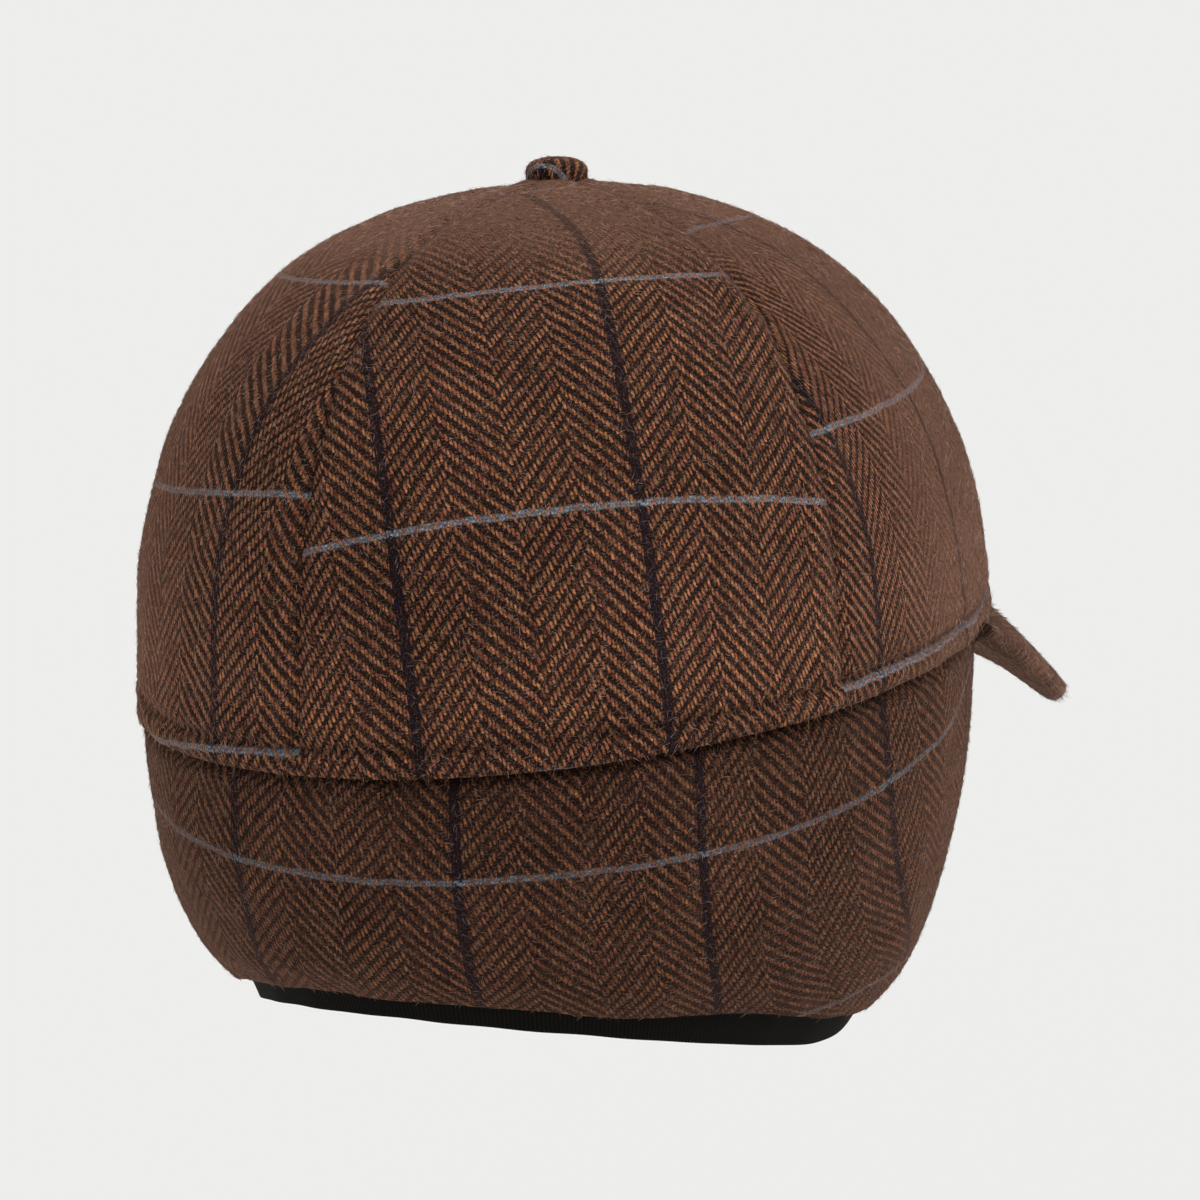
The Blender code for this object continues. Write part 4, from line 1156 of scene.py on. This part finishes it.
def peak_board(crown, peak, across, rows):
    """The middle sheet of the peak's board, its upward directions, half thickness and lengths."""
    corner_turn = pi - peak.half_turn
    half_board = peak.thickness / 2.0
    turn = pi + across * peak.half_turn
    root = oval(crown, turn, 1.0, 0.0, hem_height(crown, turn) - peak.gap - half_board, crown.wall)
    sweep = across * pi * 0.5
    corner_y = crown.half_length * cos(corner_turn)
    reach = crown.half_length + peak.length - half_board + corner_y
    past_corner = smooth_step(1.0 - np.abs(across), 0.0, peak.corner_share)
    inset = (peak.side_inset + half_board) * past_corner
    fall = 1.0 - (1.0 - np.cos(sweep)) ** peak.drop_hold
    arch = peak.arch * np.maximum(np.cos(sweep), 0.0) ** peak.arch_hold
    rim = np.stack((
        (crown.half_width * sin(corner_turn) - inset) * np.sin(sweep),
        corner_y - reach * np.cos(sweep),
        hem_height(crown, corner_turn) - peak.gap - half_board - peak.drop * fall + arch
        - peak.corner_drop * smooth_step(1.0 - np.abs(across), 0.0, peak.corner_reach),
    ), axis=-1)
    span = np.linalg.norm(rim - root, axis=-1, keepdims=True)
    rim = rim + (rim - root) / span * half_board * past_corner[..., None]
    span = np.linalg.norm(rim - root, axis=-1)
    rounding = np.minimum(half_board, 0.45 * span)
    arc = np.linspace(0.0, pi / 2.0, 8)[1:, None]
    flat_part = (1.0 - rounding / span) * np.linspace(0.0, 1.0, rows + 1)[:, None]
    round_part = 1.0 - rounding / span * (1.0 - np.sin(arc))
    out = np.concatenate((flat_part, round_part))
    half = half_board * np.concatenate((np.ones((rows + 1, 1)), np.cos(arc))) * np.ones_like(out)
    middle = root + (rim - root) * out[..., None]
    middle[..., 2] += peak.camber * 4.0 * out * (1.0 - out) * np.cos(sweep)
    side = peak.side_lean * out * np.sin(sweep)
    upward = np.stack(np.broadcast_arrays(side, -peak.front_lean * out, 1.0), axis=-1)
    upward = upward / np.linalg.norm(upward, axis=-1, keepdims=True)
    return middle, upward, half, out * span


class CAP_OT_peak(bpy.types.Operator):
    """Cover the stiff peak"""

    bl_idname = "cap.peak"
    bl_label = "Peak"

    def execute(self, context):
        crown, peak = context.scene.cap.crown, context.scene.cap.peak
        columns = int(round(pi * crown.half_width / peak.grid))
        across = np.linspace(-1.0, 1.0, columns + 1)[None, :]
        middle, upward, half, reach = peak_board(crown, peak, across, int(round(peak.length / peak.grid)))
        middle[..., 2] += peak.unevenness * soft_waves(middle, wavelength=0.03, seed=41)
        upper = middle + upward * half[..., None]
        lower = middle - upward * half[..., None]
        rows = len(middle) - 1
        board = bmesh.new()
        bmesh.ops.create_grid(board, x_segments=columns, y_segments=rows, size=1.0)
        drawn = bmesh.ops.extrude_face_region(board, geom=list(board.faces), use_keep_orig=True)
        below = [item for item in drawn["geom"] if isinstance(item, bmesh.types.BMVert)]
        bmesh.ops.translate(board, verts=below, vec=(0.0, 0.0, -1.0))
        shade = board.verts.layers.float.new(PAINTED_SHADE)
        haze_mask = board.verts.layers.float.new(PAINTED_SHEEN)
        layer = board.loops.layers.uv.new(CLOTH_MAP)
        width = 2.0 * crown.half_width
        for face in board.faces:
            under = sum(vertex.co.z for vertex in face.verts) < -2.0
            for loop in face.loops:
                column = round((loop.vert.co.x + 1.0) * 0.5 * columns)
                row = round((loop.vert.co.y + 1.0) * 0.5 * rows)
                past = 2.0 * reach[-1, column] - reach[row, column] if under else reach[row, column]
                along_root = width * across[0, column] * 0.5
                loop[layer].uv = (along_root + PEAK_CLOTH[0], past + PEAK_CLOTH[1])
        for vertex in board.verts:
            column = round((vertex.co.x + 1.0) * 0.5 * columns)
            row = round((vertex.co.y + 1.0) * 0.5 * rows)
            vertex[shade] = peak.root_shade * (1.0 - smooth_step(reach[row, column], 0.0, 0.5 * peak.length))
            # Painted sheen over the whole peak
            vertex[haze_mask] = 1.0
            vertex.co = (lower if vertex.co.z < 0.0 else upper)[row, column]
        bmesh.ops.remove_doubles(board, verts=board.verts, dist=MERGE_DISTANCE)
        bmesh.ops.recalc_face_normals(board, faces=board.faces)
        add_piece("cloth_peak", board, tweed_named(context, "peak_tweed"), "peak")
        nap_piece(context, "peak", upper, upward, 1.0, seed=43)
        nap_piece(context, "peak_underside", lower, -upward, 1.0, seed=44)
        return {"FINISHED"}


class CAP_OT_stage(bpy.types.Operator):
    """Set the floor, the light and the camera"""

    bl_idname = "cap.stage"
    bl_label = "Stage"

    def execute(self, context):
        stage = context.scene.cap.stage
        scene = context.scene
        scene.view_settings.view_transform = "Standard"
        self.floor(scene, stage)
        self.lights(scene, stage)
        self.camera(scene, stage, context.scene.cap.crown.widest)
        return {"FINISHED"}

    def floor(self, scene, stage):
        """Lay a wide pale floor below the cap."""
        model = bmesh.new()
        bmesh.ops.create_grid(model, x_segments=1, y_segments=1, size=stage.floor_size / 2.0)
        bmesh.ops.translate(model, verts=model.verts, vec=(0.0, 0.0, CAD_LOW.z - stage.floor_drop))
        mesh = bpy.data.meshes.new("floor")
        model.to_mesh(mesh)
        model.free()
        pale, _, surface = new_material("pale_floor", 1.0, 0.0)
        surface["Base Color"].default_value = stage.floor_colour
        mesh.materials.append(pale)
        floor = bpy.data.objects.new("floor", mesh)
        scene.collection.objects.link(floor)

    def lights(self, scene, stage):
        """Light the cap evenly from all round and softly from two sides."""
        world = bpy.data.worlds.new("studio")
        world.use_nodes = True
        background = world.node_tree.nodes["Background"]
        background.inputs["Color"].default_value = (1.0, 1.0, 1.0, 1.0)
        background.inputs["Strength"].default_value = stage.world_strength
        scene.world = world
        suns = (
            ("key", stage.key_strength, stage.key_side, stage.key_height),
            ("fill", stage.fill_strength, stage.fill_side, stage.fill_height),
        )
        for name, strength, to_right, up in suns:
            lamp = bpy.data.lights.new(name, "SUN")
            lamp.energy = strength
            lamp.angle = stage.softness
            light = bpy.data.objects.new(name, lamp)
            direction = self.back(stage.azimuth + to_right, up)
            light.rotation_euler = direction.to_track_quat("Z", "Y").to_euler()
            scene.collection.objects.link(light)

    @staticmethod
    def back(azimuth, elevation):
        """Direction from the cap towards a viewer at an azimuth and an elevation."""
        flat = cos(elevation)
        return Vector((sin(azimuth) * flat, -cos(azimuth) * flat, sin(elevation)))

    def camera(self, scene, stage, aim_height):
        """Set the camera where the photo's stood."""
        lens = bpy.data.cameras.new("camera")
        lens.sensor_width = 36.0
        lens.angle = stage.field
        lens.shift_x = stage.shift_x
        lens.shift_y = stage.shift_y
        lens.clip_end = stage.floor_size * 2.0
        camera = bpy.data.objects.new("camera", lens)
        back = self.back(stage.azimuth, stage.elevation)
        camera.location = Vector((0.0, 0.0, aim_height)) + back * stage.distance
        turned = (-back).to_track_quat("-Z", "Y").to_matrix() @ Matrix.Rotation(stage.roll, 3, "Z")
        camera.rotation_euler = turned.to_euler()
        scene.collection.objects.link(camera)
        scene.camera = camera


class CAP_PT_panel(bpy.types.Panel):
    """Lists the cap's pieces and their sizes"""

    bl_idname = "CAP_PT_panel"
    bl_label = "Tweed cap"
    bl_space_type = "VIEW_3D"
    bl_region_type = "UI"
    bl_category = "Cap"

    def draw(self, context):
        for operator in OPERATORS:
            self.layout.operator(operator.bl_idname)
        for name in CapSettings.__annotations__:
            group = getattr(context.scene.cap, name)
            box = self.layout.box()
            for field in type(group).__annotations__:
                box.prop(group, field)


OPERATORS = (CAP_OT_crown, CAP_OT_button, CAP_OT_band, CAP_OT_tape, CAP_OT_peak, CAP_OT_stage)
SETTINGS = (
    CrownSettings, BandSettings, TapeSettings, PeakSettings, ButtonSettings, TweedSettings,
    StageSettings, CapSettings,
)


def register():
    for item in (*SETTINGS, *OPERATORS, CAP_PT_panel):
        bpy.utils.register_class(item)
    bpy.types.Scene.cap = PointerProperty(type=CapSettings)


def unregister():
    del bpy.types.Scene.cap
    for item in (CAP_PT_panel, *reversed(OPERATORS), *reversed(SETTINGS)):
        bpy.utils.unregister_class(item)


def main():
    register()
    bpy.ops.cap.crown()
    bpy.ops.cap.button()
    bpy.ops.cap.band()
    bpy.ops.cap.tape()
    bpy.ops.cap.peak()
    bpy.ops.cap.stage()


if __name__ == "__main__":
    main()
